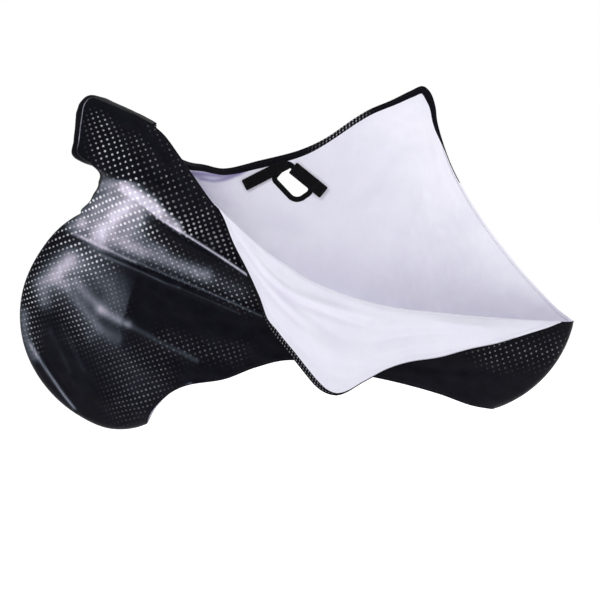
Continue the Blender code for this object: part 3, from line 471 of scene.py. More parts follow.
def share_of(line, x, z):
    run = np.concatenate([[0.0], np.cumsum(np.linalg.norm(np.diff(line[:, :2], axis=0), axis=1))])
    return run[np.argmin(np.hypot(line[:, 0] - x, line[:, 1] - z))] / run[-1]


def graded(stops):
    """Positions from 0 to 1 whose spacing follows a table of place and spacing."""
    place, gap = np.array(stops).T
    at = [0.0]
    while at[-1] < 1:
        at.append(at[-1] + float(np.interp(at[-1], place, gap)))
    return np.array(at) / at[-1]


def arc(round_, degrees, off=0.0):
    angles = np.radians(degrees)
    reach = round_["r"] + off
    return np.stack([round_["x"] + reach * np.cos(angles), round_["z"] + reach * np.sin(angles), 0 * angles], axis=1)


def soft_step(value):
    value = np.clip(value, 0, 1)
    return value * value * (3 - 2 * value)


def distance_to(line, x, z):
    """Distance in the xz plane from each point to a polyline, and how far along it (0 to 1)."""
    a, b = line[:-1, :2], line[1:, :2]
    d = b - a
    shape = np.shape(x)
    q = np.stack([np.ravel(x), np.ravel(z)], axis=-1)[:, None, :]
    t = np.clip(((q - a) * d).sum(-1) / np.maximum((d * d).sum(-1), 1e-12), 0, 1)
    gap = np.linalg.norm(q - (a + t[..., None] * d), axis=-1)
    best = gap.argmin(-1)
    along = (best + np.take_along_axis(t, best[..., None], -1)[..., 0]) / len(a)
    return gap.min(-1).reshape(shape), along.reshape(shape)


def strokes(table, x, z):
    """Strengths of a table of strokes, laid over each other."""
    left = np.ones_like(x)
    for half_width, strength, points in table:
        line = smooth_run(points, 24)
        gap, _ = distance_to(line, x, z)
        left *= 1 - strength * np.exp(-(gap / half_width) ** 2)
    return 1 - left


def ripple(x, z, seed, waves, shortest, longest, height, lean=None):
    """A sum of plane waves: the small unevenness of hanging or stretched cloth."""
    rng = np.random.default_rng(seed)
    total = np.zeros_like(x)
    for _ in range(waves):
        length = shortest * (longest / shortest) ** rng.random()
        turn = rng.uniform(0, math.pi) if lean is None else lean + rng.normal(0, 0.35)
        total += height * (length / longest) ** 0.8 * np.sin(
            2 * math.pi * (x * math.cos(turn) + z * math.sin(turn)) / length + rng.uniform(0, 2 * math.pi))
    return total


# ---- side panels ------------------------------------------------------------------------------------
def corner_shift(i):
    return soft_step((np.asarray(i, float) - (len(NECK) - 4)) / 3)


def neck_table(side):
    """Rows x, z, half, bulge, out of the gusset seam, with the last two rows of the wheel seam before them."""
    rows = []
    for row in (WHEEL_ROWS - 2, WHEEL_ROWS - 1):
        x, z, _ = wheel_seam(np.array([float(row)]))[0]
        rows.append((x, z, 0.0003, 0.0, 120.0))
    for i, (x, z, half, bulge, out) in enumerate(NECK):
        shift = float(corner_shift(i)) if side == "far" else 0.0
        rows.append((x + FAR_CORNER["dx"] * shift, z + FAR_CORNER["dz"] * shift, half, bulge, out))
    return rows


def wheel_seam(at):
    degrees, off = smooth_run(FRONT_ARC, 400).T
    turned = FRONT_ARC[0][0] + (FRONT_ARC[-1][0] - FRONT_ARC[0][0]) * np.clip(at, 0, WHEEL_ROWS - 1) / (WHEEL_ROWS - 1)
    return arc(FRONT_ROUND, turned, np.interp(-turned, -degrees, off))


def seam_side(side, at):
    """The front edge of a side panel at fractional row numbers: x, z, depth."""
    neck = spline_rows(neck_table(side), np.clip(at - (WHEEL_ROWS - 2), 0, None))[:, :3]
    return np.where((at <= WHEEL_ROWS - 1)[:, None], wheel_seam(at), neck)


def depth_extra(side, x, z):
    extra = np.zeros_like(x)
    for where, mx, mz, reach, height in MOUNDS:
        if where == side:
            extra += height * np.exp(-((x - mx) ** 2 + (z - mz) ** 2) / (reach * reach))
    for where, half_width, height, points in CREASES:
        if where == side:
            line = smooth_run(points, 40)
            gap, along = distance_to(line, x, z)
            fade = np.sin(np.pi * np.clip(along, 0.02, 0.98)) ** 0.6
            extra += height * fade * np.exp(-(gap / half_width) ** 2)
    if side == "near":
        extra += ripple(x, z, 11, 9, 0.050, 0.160, 0.0011, math.radians(57))
        extra += ripple(x, z, 12, 8, 0.022, 0.060, 0.00035)
    else:
        extra += ripple(x, z, 21, 8, 0.070, 0.220, 0.0014)
        extra += ripple(x, z, 22, 8, 0.024, 0.060, 0.00035)
    return extra


def pocket_turn(gap):
    share = 1 - np.clip(gap / WHEEL_WRAP, 0, 1)
    return WHEEL_HALF * np.sqrt(1 - share * share)


def flat_depth(x, z):
    return FLAT_Y + FLAT_DX * (x - FLAT_X) + FLAT_DZ * (z - FLAT_Z)


def placed(x, z, depth, side):
    sign = -1.0 if side == "near" else 1.0
    return np.stack([x - ORIGIN[0], sign * depth - ORIGIN[1], z - ORIGIN[2]], axis=-1)


def panel_grid(side):
    """Fine grid x, z, depth of a side panel between its four edges, u of each column, and the top line."""
    rows = np.arange((WHEEL_ROWS + len(NECK) - 1) * ROW_STEPS + 1) / ROW_STEPS
    v = rows / rows[-1]
    u = graded(NEAR_COLUMNS if side == "near" else FAR_COLUMNS)
    L = seam_side(side, rows)
    right = arc(REAR_ROUND, np.linspace(*REAR_ARC, 200))
    hem = NEAR_HEM if side == "near" else FAR_HEM
    top = NEAR_FREE + NEAR_FOLD if side == "near" else FAR_TOP
    bottom_line = smooth_run([tuple(L[0])] + hem + [tuple(right[0])])
    top_line = smooth_run([tuple(L[-1])] + top + [tuple(right[-1])])
    R = resample(right, at=v)
    B = resample(bottom_line, at=u)
    T = resample(top_line, at=u)
    U, V = np.meshgrid(u, v)
    grid = np.empty((len(v), len(u), 3))
    pull, plain_top, turn = EDGE_PULL, T, 1.0
    if side == "far":
        pull = EDGE_PULL + (NECK_PULL - EDGE_PULL) * soft_step((rows - NECK_PULL_ROW) / 4)[:, None]
        reach = int(np.searchsorted(u, PLAIN_REACH))
        plain_top = T.copy()
        plain_top[:reach] = T[0] + (T[reach] - T[0]) * (u[:reach, None] / u[reach])
        turn = np.clip((v - PLAIN_UP_TO) / (1 - PLAIN_UP_TO), 0, 1)[:, None] ** 2
    for k in range(3):
        upper = plain_top[None, :, k] + (T - plain_top)[None, :, k] * turn
        between = (1 - V) * B[None, :, k] + V * upper
        left_off = L[:, None, k] - ((1 - V) * B[0, k] + V * T[0, k])
        right_off = R[:, None, k] - ((1 - V) * B[-1, k] + V * T[-1, k])
        grid[:, :, k] = between + (1 - U) ** pull * left_off + U ** EDGE_PULL * right_off
    slack = soft_step(u / EVEN_FADE)[None, :, None] * soft_step((1 - u) / EVEN_FADE)[None, :, None]
    for _ in range(EVEN_PASSES):
        grid[1:-1] += slack * 0.5 * ((grid[:-2] + grid[2:]) / 2 - grid[1:-1])
    x, z, depth = grid[:, :, 0], grid[:, :, 1], grid[:, :, 2]
    fade = soft_step(U / 0.05) * soft_step((1 - U) / 0.05) * soft_step(V / 0.08 + 0.15) * soft_step((1 - V) / 0.10 + 0.10)
    depth += depth_extra(side, x, z) * fade
    wheel_rows = np.clip(1 - (rows - (WHEEL_ROWS - 1)) / 4, 0, 1)[:, None]
    gap_left, _ = distance_to(L[:(WHEEL_ROWS) * ROW_STEPS + 1:2, :2], x, z)
    gap_right, _ = distance_to(right[::2, :2], x, z)
    depth += pocket_turn(gap_left) * soft_step((0.35 - U) / 0.2) * wheel_rows
    depth += pocket_turn(gap_right) * soft_step((U - 0.75) / 0.2)
    if side == "far":
        flat = 1 - soft_step((np.hypot(x - FLAT_X, z - FLAT_Z) - FLAT_FULL) / FLAT_FADE)
        depth += (flat_depth(x, z) - depth) * flat
    wheel = rows <= WHEEL_ROWS - 1
    depth[wheel, 0] = SEAM_GAP / 2
    depth[:, -1] = SEAM_GAP / 2
    return grid, u, top_line


# ---- the print --------------------------------------------------------------------------------------
def counted(stops, value):
    """How many dots there are up to each place, where the spacing changes with the place."""
    place, gap = np.array(stops).T
    fine = np.linspace(place[0], place[-1], 2000)
    count = np.concatenate([[0.0], np.cumsum(np.diff(fine) / np.interp((fine[1:] + fine[:-1]) / 2, place, gap))])
    return np.interp(value, fine, count), np.interp(value, place, gap)


def print_fields(side, x, z):
    """Dot coordinates and the local strengths of the print, with its painted sheen and painted shade, at places on the
    flat cloth.
    """
    wob_x = x + 0.0030 * np.sin(17 * z + 9 * x + 0.6) + 0.0016 * np.sin(43 * x - 21 * z)
    wob_z = z + 0.0030 * np.sin(15 * x - 11 * z + 1.9) + 0.0016 * np.sin(39 * z + 18 * x)
    a = wob_x * math.cos(DOT_TURN) + wob_z * math.sin(DOT_TURN)
    b = -wob_x * math.sin(DOT_TURN) + wob_z * math.cos(DOT_TURN)
    cell_a, size_a = counted(ALONG_ROWS, a)
    cell_b, size_b = counted(ACROSS_ROWS, b)
    if side == "near":
        # painted shade takes away the pale ground (print with painted sheen) and the dot brightness
        shade_strokes = strokes(SHADE_STROKES, x, z)
        edge = np.array(SLATE_SHADOW_EDGE)
        order = np.argsort(edge[:, 1])
        past = x - np.interp(z, edge[order, 1], edge[order, 0])
        slate_print_and_sheen = strokes(SLATE_PRINT_AND_SHEEN, x, z) * (1 - soft_step(past / 0.006 + 0.5))
        pocket = np.array(POCKET_EDGE)
        above = soft_step((z - np.interp(x, pocket[:, 0], pocket[:, 1])) / 0.007 + 0.5) * soft_step((-0.305 - x) / 0.05)
        tone = strokes(PRINT_AND_SHEEN, x, z) * (1 - 0.4 * shade_strokes) * (1 - 0.90 * above)
        tone = 1 - (1 - tone) * (1 - slate_print_and_sheen)
        ink = strokes(INK_AND_SHEEN, x, z) * (1 - shade_strokes)
        radius = 0.0025 + sum(s * np.exp(-(distance_to(smooth_run(p, 16), x, z)[0] / w) ** 2) for w, s, p in FULL)
        radius = np.minimum(radius, 0.0040)
    else:
        tone = strokes(FAR_PRINT_AND_SHEEN, x, z)
        ink = strokes(FAR_INK_AND_SHEEN, x, z)
        radius = 0.0027 + 0.0010 * tone
    return dict(cell_a=cell_a, cell_b=cell_b, size_a=size_a, size_b=size_b, tone=tone, ink=ink, dot=radius)


# ---- meshes -----------------------------------------------------------------------------------------
def faces_of_grid(index, flip):
    a, b, c, d = index[:-1, :-1], index[:-1, 1:], index[1:, 1:], index[1:, :-1]
    quads = np.stack([a, b, c, d], axis=-1).reshape(-1, 4)
    if flip:
        quads = quads[:, ::-1]
    faces = []
    for quad in quads.tolist():
        ring = [q for k, q in enumerate(quad) if q != quad[k - 1]]
        if len(ring) > 2:
            faces.append(ring)
    return faces


def make_mesh(name, points, faces, materials, fields=None, smooth=True):
    """A mesh object with its vertex fields and its two UV maps: dots in cells, cloth in metres."""
    mesh = bpy.data.meshes.new(name)
    mesh.from_pydata(np.asarray(points, float).tolist(), [], faces)
    mesh.update()
    obj = bpy.data.objects.new(name, mesh)
    bpy.context.scene.collection.objects.link(obj)
    for made in materials:
        mesh.materials.append(made)
    mesh.polygons.foreach_set("use_smooth", [smooth] * len(mesh.polygons))
    if fields:
        loops = np.empty(len(mesh.loops), int)
        mesh.loops.foreach_get("vertex_index", loops)
        for uv_name, first, second in (("cloth", "flat_x", "flat_z"), ("dots", "cell_a", "cell_b")):
            if first in fields:
                layer = mesh.uv_layers.new(name=uv_name)
                uv = np.stack([np.ravel(fields[first])[loops], np.ravel(fields[second])[loops]], axis=1)
                layer.data.foreach_set("uv", uv.astype(np.float32).ravel())
        for key in ("tone", "ink", "dot", "size_a", "size_b", "shade", "facing"):
            if key in fields:
                attribute = mesh.attributes.new(key, "FLOAT", "POINT")
                attribute.data.foreach_set("value", np.ravel(fields[key]).astype(np.float32))
    return obj


def thicken(obj, hem_weights=None, outwards=False):
    """Gives a sheet its thickness, more at the hems, with the second side and the rim in their own materials."""
    solid = obj.modifiers.new("thickness", "SOLIDIFY")
    solid.thickness = HEM if hem_weights is not None else CLOTH
    solid.offset = 1.0 if outwards else -1.0
    solid.use_even_offset = False
    solid.material_offset = 1
    solid.material_offset_rim = 2
    if hem_weights is not None:
        group = obj.vertex_groups.new(name="hem")
        levels = np.round(np.ravel(hem_weights) * 8) / 8
        for level in np.unique(levels):
            if level > 0:
                group.add(np.nonzero(levels == level)[0].tolist(), float(level), "REPLACE")
        solid.vertex_group = "hem"
        solid.thickness_vertex_group = CLOTH / HEM
    return obj


def settle(obj, sharp=50.0):
    """Applies the modifiers and keeps hard edges only where the cloth really ends."""
    graph = bpy.context.evaluated_depsgraph_get()
    mesh = bpy.data.meshes.new_from_object(obj.evaluated_get(graph), preserve_all_data_layers=True, depsgraph=graph)
    old = obj.data
    obj.modifiers.clear()
    obj.data = mesh
    mesh.name = obj.name
    bpy.data.meshes.remove(old)
    mesh.set_sharp_from_angle(angle=math.radians(sharp))
    return obj


def sheet_area(points, faces):
    p = np.asarray(points, float)
    total = 0.0
    for ring in faces:
        q = p[ring]
        total += 0.5 * np.linalg.norm(np.cross(q[1:-1] - q[0], q[2:] - q[0]).sum(axis=0))
    return total


def inset(lines, distance):
    """The points a distance in from the edge along each line of points (lines, points, 3)."""
    out = []
    for line in lines:
        run = np.concatenate([[0.0], np.cumsum(np.linalg.norm(np.diff(line, axis=0), axis=1))])
        out.append([np.interp(min(distance, run[-1]), run, line[:, k]) for k in range(3)])
    return np.array(out)


def stitched(name, runs, materials, length=0.0026, pitch=0.0040, width=0.00050, height=0.00036):
    """Short thread stitches along several runs.  A run is points, directions off the cloth, and the lift."""
    points, faces = [], []
    for path, normals, lift in runs:
        run = np.concatenate([[0.0], np.cumsum(np.linalg.norm(np.diff(path, axis=0), axis=1))])
        at = np.arange(pitch, run[-1] - pitch / 2, pitch)
        middle = np.stack([np.interp(at, run, path[:, k]) for k in range(3)], axis=1)
        ahead = np.stack([np.interp(at + 0.001, run, path[:, k]) for k in range(3)], axis=1) - middle
        ahead /= np.maximum(np.linalg.norm(ahead, axis=1), 1e-9)[:, None]
        up = np.stack([np.interp(at, run, normals[:, k]) for k in range(3)], axis=1)
        up -= (up * ahead).sum(1)[:, None] * ahead
        up /= np.maximum(np.linalg.norm(up, axis=1), 1e-9)[:, None]
        side = np.cross(ahead, up)
        for m, t, n, s in zip(middle, ahead, up, side):
            first = len(points)
            base = m + n * lift
            for end, reach in ((-1, 0.5), (-0.55, 1.0), (0.55, 1.0), (1, 0.5)):
                centre = base + t * end * length / 2 + n * (height * 0.5 * (reach - 0.6))
                for c, h in ((-1, 0), (0, 1), (1, 0), (0, -0.6)):
                    points.append(centre + s * c * width / 2 * reach + n * h * height / 2 * reach)
            for ring in range(3):
                for k in range(4):
                    a, b = first + ring * 4 + k, first + ring * 4 + (k + 1) % 4
                    faces.append([a, b, b + 4, a + 4])
            faces.append([first + 3, first + 2, first + 1, first])
            faces.append([first + 12, first + 13, first + 14, first + 15])
    obj = make_mesh(name, points, faces, materials)
    return obj


def tube(name, path, radius, materials, sides=8, flat=1.0):
    """A bead along a path of points, thinner towards its ends."""
    path = np.asarray(path, float)
    run = np.concatenate([[0.0], np.cumsum(np.linalg.norm(np.diff(path, axis=0), axis=1))])
    keep = np.concatenate([[True], np.diff(run) > 1e-5])
    path, run = path[keep], run[keep]
    radius = radius * (0.25 + 0.75 * soft_step(np.minimum(run, run[-1] - run) / 0.02))[:, None]
    ahead = np.gradient(path, axis=0)
    ahead /= np.linalg.norm(ahead, axis=1)[:, None]
    up = np.tile([0.0, -1.0, 0.0], (len(path), 1))
    up -= (up * ahead).sum(1)[:, None] * ahead
    up /= np.maximum(np.linalg.norm(up, axis=1), 1e-9)[:, None]
    side = np.cross(ahead, up)
    points = []
    for k in range(sides):
        turn = 2 * math.pi * k / sides
        points.append(path + radius * (math.cos(turn) * side + flat * math.sin(turn) * up))
    points = np.stack(points, axis=1).reshape(-1, 3)
    index = np.arange(len(points)).reshape(len(path), sides)
    index = np.hstack([index, index[:, :1]])
    faces = faces_of_grid(index, False)
    faces += [list(range(sides))[::-1], list(range(len(points) - sides, len(points)))]
    obj = make_mesh(name, points, faces, materials)
    bm = bmesh.new()
    bm.from_mesh(obj.data)
    bmesh.ops.recalc_face_normals(bm, faces=bm.faces[:])
    bm.to_mesh(obj.data)
    bm.free()
    return obj


def grid_normals(points):
    """Unit normals of a grid of points (rows, columns, 3)."""
    across = np.gradient(points, axis=1)
    along = np.gradient(points, axis=0)
    normal = np.cross(across, along)
    return normal / np.maximum(np.linalg.norm(normal, axis=-1), 1e-12)[..., None]


# ---- materials --------------------------------------------------------------------------------------
class Nodes:
    """Small helper for building a node tree."""

    def __init__(self, name, roughness, specular, sheen, sheen_rough=0.4, colour=(0.5, 0.5, 0.5)):
        self.material = bpy.data.materials.new(name)
        self.material.use_nodes = True
        self.tree = self.material.node_tree
        self.shader = self.tree.nodes["Principled BSDF"]
        self.shader.inputs["Base Color"].default_value = (*colour, 1.0)
        self.shader.inputs["Roughness"].default_value = roughness
        self.shader.inputs["Specular IOR Level"].default_value = specular
        self.shader.inputs["Sheen Weight"].default_value = sheen
        self.shader.inputs["Sheen Roughness"].default_value = sheen_rough

    def node(self, kind, **settings):
        made = self.tree.nodes.new("ShaderNode" + kind)
        for key, value in settings.items():
            setattr(made, key, value)
        return made

    def link(self, source, target):
        self.tree.links.new(source, target)

    def value(self, name):
        return self.node("Attribute", attribute_name=name, attribute_type="GEOMETRY").outputs["Fac"]

    def uv(self, name):
        return self.node("UVMap", uv_map=name).outputs["UV"]

    def math(self, operation, a, b=None, c=None, clamp=False):
        made = self.node("Math", operation=operation, use_clamp=clamp)
        for socket, given in zip(made.inputs, (a, b, c)):
            if given is None:
                continue
            if isinstance(given, (int, float)):
                socket.default_value = given
            else:
                self.link(given, socket)
        return made.outputs[0]

    def vector(self, operation, a, b=None):
        made = self.node("VectorMath", operation=operation)
        for socket, given in zip(made.inputs, (a, b)):
            if given is None:
                continue
            if isinstance(given, tuple):
                socket.default_value = given
            else:
                self.link(given, socket)
        return made.outputs["Value"] if operation == "LENGTH" else made.outputs["Vector"]

    def noise(self, at, scale, detail=2.0, rough=0.5, dimensions="3D"):
        made = self.node("TexNoise", noise_dimensions=dimensions)
        made.inputs["Scale"].default_value = scale
        made.inputs["Detail"].default_value = detail
        made.inputs["Roughness"].default_value = rough
        self.link(at, made.inputs["Vector"])
        return made.outputs["Fac"]

    def stretched(self, at, sx, sy, turn=0.0):
        made = self.node("Mapping")
        made.inputs["Scale"].default_value = (sx, sy, 1.0)
        made.inputs["Rotation"].default_value = (0.0, 0.0, turn)
        self.link(at, made.inputs["Vector"])
        return made.outputs["Vector"]

    def span(self, value, low, high, to_low=0.0, to_high=1.0, smooth=False):
        made = self.node("MapRange", interpolation_type="SMOOTHSTEP" if smooth else "LINEAR")
        made.clamp = True
        for key, given in (("Value", value), ("From Min", low), ("From Max", high), ("To Min", to_low), ("To Max", to_high)):
            if isinstance(given, (int, float)):
                made.inputs[key].default_value = given
            else:
                self.link(given, made.inputs[key])
        return made.outputs["Result"]

    def mix(self, factor, a, b):
        made = self.node("Mix", data_type="RGBA")
        for socket, given in ((made.inputs[0], factor), (made.inputs[6], a), (made.inputs[7], b)):
            if isinstance(given, (int, float)):
                socket.default_value = given
            elif isinstance(given, tuple):
                socket.default_value = (*given, 1.0)
            else:
                self.link(given, socket)
        return made.outputs[2]

    def bump(self, height, strength, distance, under=None):
        made = self.node("Bump")
        made.inputs["Strength"].default_value = strength
        made.inputs["Distance"].default_value = distance
        self.link(height, made.inputs["Height"])
        if under is not None:
            self.link(under, made.inputs["Normal"])
        return made.outputs["Normal"]

    def knit(self, at, wale, course):
        """Height of a fine knit: ribs of loops, wale apart across and course apart along."""
        parts = self.node("SeparateXYZ")
        self.link(at, parts.inputs[0])
        across = self.math("SINE", self.math("MULTIPLY", parts.outputs[0], 2 * math.pi / wale))
        along = self.math("SINE", self.math("MULTIPLY_ADD", parts.outputs[1], 2 * math.pi / course, self.math("MULTIPLY", across, 0.9)))
        return self.math("MULTIPLY_ADD", along, 0.4, self.math("MULTIPLY", across, 0.6))


WHITE_INK = (0.94, 0.93, 0.98)
GROUND = (0.0024, 0.0023, 0.0052)


def dot_mask(n, size_attributes=True):
    """Mask of the round dots of the print, and a random value for each dot."""
    cells = n.uv("dots")
    inside = n.vector("SUBTRACT", n.vector("FRACTION", cells), (0.5, 0.5, 0.0))
    size = n.node("CombineXYZ")
    n.link(n.value("size_a"), size.inputs[0])
    n.link(n.value("size_b"), size.inputs[1])
    parts = n.node("SeparateXYZ")
    n.link(n.vector("MULTIPLY", inside, size.outputs[0]), parts.inputs[0])
    flat = n.node("CombineXYZ")
    n.link(parts.outputs[0], flat.inputs[0])
    n.link(parts.outputs[1], flat.inputs[1])
    gap = n.vector("LENGTH", flat.outputs[0])
    chance = n.node("TexWhiteNoise", noise_dimensions="2D")
    n.link(n.vector("FLOOR", cells), chance.inputs["Vector"])
    radius = n.math("MULTIPLY", n.value("dot"), n.span(chance.outputs["Value"], 0, 1, 0.88, 1.10))
    mask = n.span(n.math("SUBTRACT", radius, gap), -0.0009, 0.0009, 0.0, 1.0, smooth=True)
    return mask, chance.outputs["Value"]


def printed_cloth():
    """Outer side: satin black knit with white dots, and pale zones that are partly print and partly painted sheen and
    painted highlights.
    """
    n = Nodes("stretch_cloth_print", roughness=0.38, specular=0.055, sheen=0.0, sheen_rough=0.35)
    at = n.uv("cloth")
    cloud = n.noise(at, 26.0, 3.0, 0.55)
    streaks = n.noise(n.stretched(at, 60.0, 9.0, math.radians(-55)), 1.0, 2.0)
    # pale ground: partly print, partly painted sheen; noise varies it at random
    tone = n.math("POWER", n.value("tone"), 2.1)
    tone = n.math("MULTIPLY", tone, n.span(cloud, 0.30, 0.70, 0.80, 1.15))
    tone = n.math("MULTIPLY", tone, n.span(streaks, 0.30, 0.70, 0.86, 1.12), clamp=True)
    ground = n.mix(n.span(cloud, 0.35, 0.65), GROUND, (0.0040, 0.0041, 0.0080))
    # blue-grey where the painted sheen is faint, lavender where it is strong
    colour = n.mix(tone, ground, n.mix(n.span(tone, 0.05, 0.45), (0.46, 0.56, 0.70), (0.72, 0.67, 0.82)))
    mask, chance = dot_mask(n)
    # dot brightness: partly print, partly painted light
    ink = n.math("POWER", n.value("ink"), 2.0)
    ink = n.math("MULTIPLY", ink, n.span(chance, 0, 1, 0.70, 1.0))
    ink = n.math("MULTIPLY", mask, ink)
    colour = n.mix(ink, colour, WHITE_INK)
    n.link(colour, n.shader.inputs["Base Color"])
    n.link(n.span(streaks, 0.3, 0.7, 0.38, 0.48), n.shader.inputs["Roughness"])
    knit = n.bump(n.knit(at, 0.0013, 0.0011), 0.22, 0.00025)
    drape = n.bump(n.noise(n.stretched(at, 34.0, 13.0, math.radians(-52)), 1.0, 3.0), 0.18, 0.0022, knit)
    n.link(drape, n.shader.inputs["Normal"])
    return n.material


def inner_cloth():
    """Inner side: white knit with a lavender cast, painted lavender shade, and black facing at the hems."""
    n = Nodes("stretch_cloth_inside", roughness=0.72, specular=0.06, sheen=0.0, sheen_rough=0.5)
    at = n.uv("cloth")
    cloud = n.noise(at, 14.0, 3.0, 0.55)
    fine = n.noise(at, 900.0, 1.0)
    white = n.mix(n.span(cloud, 0.35, 0.65), (0.862, 0.849, 0.935), (0.888, 0.876, 0.955))
    white = n.mix(n.span(fine, 0.3, 0.7, 0.0, 0.10), white, (0.64, 0.62, 0.76))
    # painted shade: the shade field darkens the white towards lavender
    shaded = n.mix(n.math("POWER", n.value("shade"), 1.2), white, (0.155, 0.125, 0.330))
    mask, chance = dot_mask(n)
    black = n.mix(n.math("MULTIPLY", n.math("MULTIPLY", mask, n.value("ink")), 0.6), GROUND, WHITE_INK)
    band = n.span(n.value("facing"), -0.0004, 0.0004)
    colour = n.mix(band, shaded, black)
    n.link(colour, n.shader.inputs["Base Color"])
    n.link(n.span(band, 0, 1, 0.74, 0.45), n.shader.inputs["Roughness"])
    knit = n.bump(n.knit(at, 0.0016, 0.0013), 0.30, 0.00030)
    drape = n.bump(n.noise(n.stretched(at, 18.0, 11.0, 0.6), 1.0, 3.0), 0.28, 0.0030, knit)
    n.link(drape, n.shader.inputs["Normal"])
    return n.material


def plain_cloth():
    """Plain black satin knit: gusset, hems and facing."""
    n = Nodes("stretch_cloth_plain", roughness=0.46, specular=0.035, sheen=0.0, sheen_rough=0.35)
    at = n.node("TexCoord").outputs["Object"]
    cloud = n.noise(at, 24.0, 3.0)
    colour = n.mix(n.span(cloud, 0.35, 0.65), (0.0028, 0.0028, 0.0046), (0.0050, 0.0050, 0.0076))
    n.link(colour, n.shader.inputs["Base Color"])
    n.link(n.span(cloud, 0.3, 0.7, 0.40, 0.50), n.shader.inputs["Roughness"])
    knit = n.bump(n.noise(at, 900.0, 1.0), 0.20, 0.0003)
    drape = n.bump(n.noise(at, 22.0, 3.0), 0.25, 0.0030, knit)
    n.link(drape, n.shader.inputs["Normal"])
    return n.material


def piping():
    """Bead of the near seam of the gusset: satin black, with a painted highlight, a pale line, on it at the pocket."""
    n = Nodes("seam_piping", roughness=0.35, specular=0.35, sheen=0.0)
    at = n.node("TexCoord").outputs["Object"]
    parts = n.node("SeparateXYZ")
    n.link(at, parts.inputs[0])
    # painted highlight: a pale line on the bead beside the pocket, broken into patches by noise
    low = n.span(parts.outputs[2], 0.820 - ORIGIN[2], 0.850 - ORIGIN[2])
    high = n.span(parts.outputs[2], 0.962 - ORIGIN[2], 0.940 - ORIGIN[2])
    left = n.span(parts.outputs[0], -0.560 - ORIGIN[0], -0.575 - ORIGIN[0])
    pale = n.math("MULTIPLY", n.math("MULTIPLY", low, high), left)
    wear_and_glint = n.noise(at, 90.0, 3.0, 0.6)
    pale = n.math("MULTIPLY", pale, n.span(wear_and_glint, 0.30, 0.65, 0.35, 1.0))
    n.link(n.mix(pale, (0.0040, 0.0040, 0.0060), (0.30, 0.29, 0.36)), n.shader.inputs["Base Color"])
    n.link(n.bump(n.noise(at, 900.0, 1.0), 0.2, 0.0002), n.shader.inputs["Normal"])
    return n.material


def webbing():
    """Woven black trim: ribs across the tape and a slight wear along its crown."""
    n = Nodes("black_trim_weave", roughness=0.68, specular=0.06, sheen=0.0)
    at = n.uv("cloth")
    parts = n.node("SeparateXYZ")
    n.link(at, parts.inputs[0])
    ribs = n.math("SINE", n.math("MULTIPLY", parts.outputs[0], 2 * math.pi / 0.0016))
    weave = n.math("SINE", n.math("MULTIPLY", parts.outputs[1], 2 * math.pi / 0.0011))
    height = n.math("MULTIPLY_ADD", weave, 0.35, n.math("MULTIPLY", ribs, 0.65))
    wear_and_glint = n.noise(at, 120.0, 3.0, 0.6)
    colour = n.mix(n.span(height, -1, 1), (0.0020, 0.0020, 0.0026), (0.0065, 0.0065, 0.0075))
    colour = n.mix(n.span(wear_and_glint, 0.60, 0.80, 0.0, 0.35), colour, (0.016, 0.016, 0.017))
    n.link(colour, n.shader.inputs["Base Color"])
    n.link(n.span(wear_and_glint, 0.3, 0.8, 0.75, 0.60), n.shader.inputs["Roughness"])
    n.link(n.bump(height, 0.5, 0.0003), n.shader.inputs["Normal"])
    return n.material


def thread(name, colour):
    n = Nodes(name, roughness=0.55, specular=0.3, sheen=0.1)
    at = n.node("TexCoord").outputs["Object"]
    twist = n.noise(at, 1400.0, 1.0)
    lighter = tuple(min(1.0, c * 1.7) for c in colour)
    n.link(n.mix(n.span(twist, 0.35, 0.65), colour, lighter), n.shader.inputs["Base Color"])
    n.link(n.bump(twist, 0.4, 0.0002), n.shader.inputs["Normal"])
    return n.material


PRINT = printed_cloth()
INSIDE = inner_cloth()
PLAIN = plain_cloth()
TRIM = webbing()
PIPING = piping()
THREAD = thread("black_thread", (0.006, 0.006, 0.008))
LOCKED = thread("seam_thread", (0.012, 0.012, 0.015))


# ---- near panel with its flap -----------------------------------------------------------------------
def edge_run(line):
    """Share of the length at each point of a row of points."""
    run = np.concatenate([[0.0], np.cumsum(np.linalg.norm(np.diff(line, axis=0), axis=1))])
    return run / run[-1]


def from_edge(lines, from_end=False):
    """Length along each line (rows, columns, 3) measured down the rows from the first or the last row."""
    steps = np.linalg.norm(np.diff(lines, axis=0), axis=-1)
    if from_end:
        steps = steps[::-1]
    run = np.concatenate([np.zeros((1, lines.shape[1])), np.cumsum(steps, axis=0)])
    return run[::-1] if from_end else run


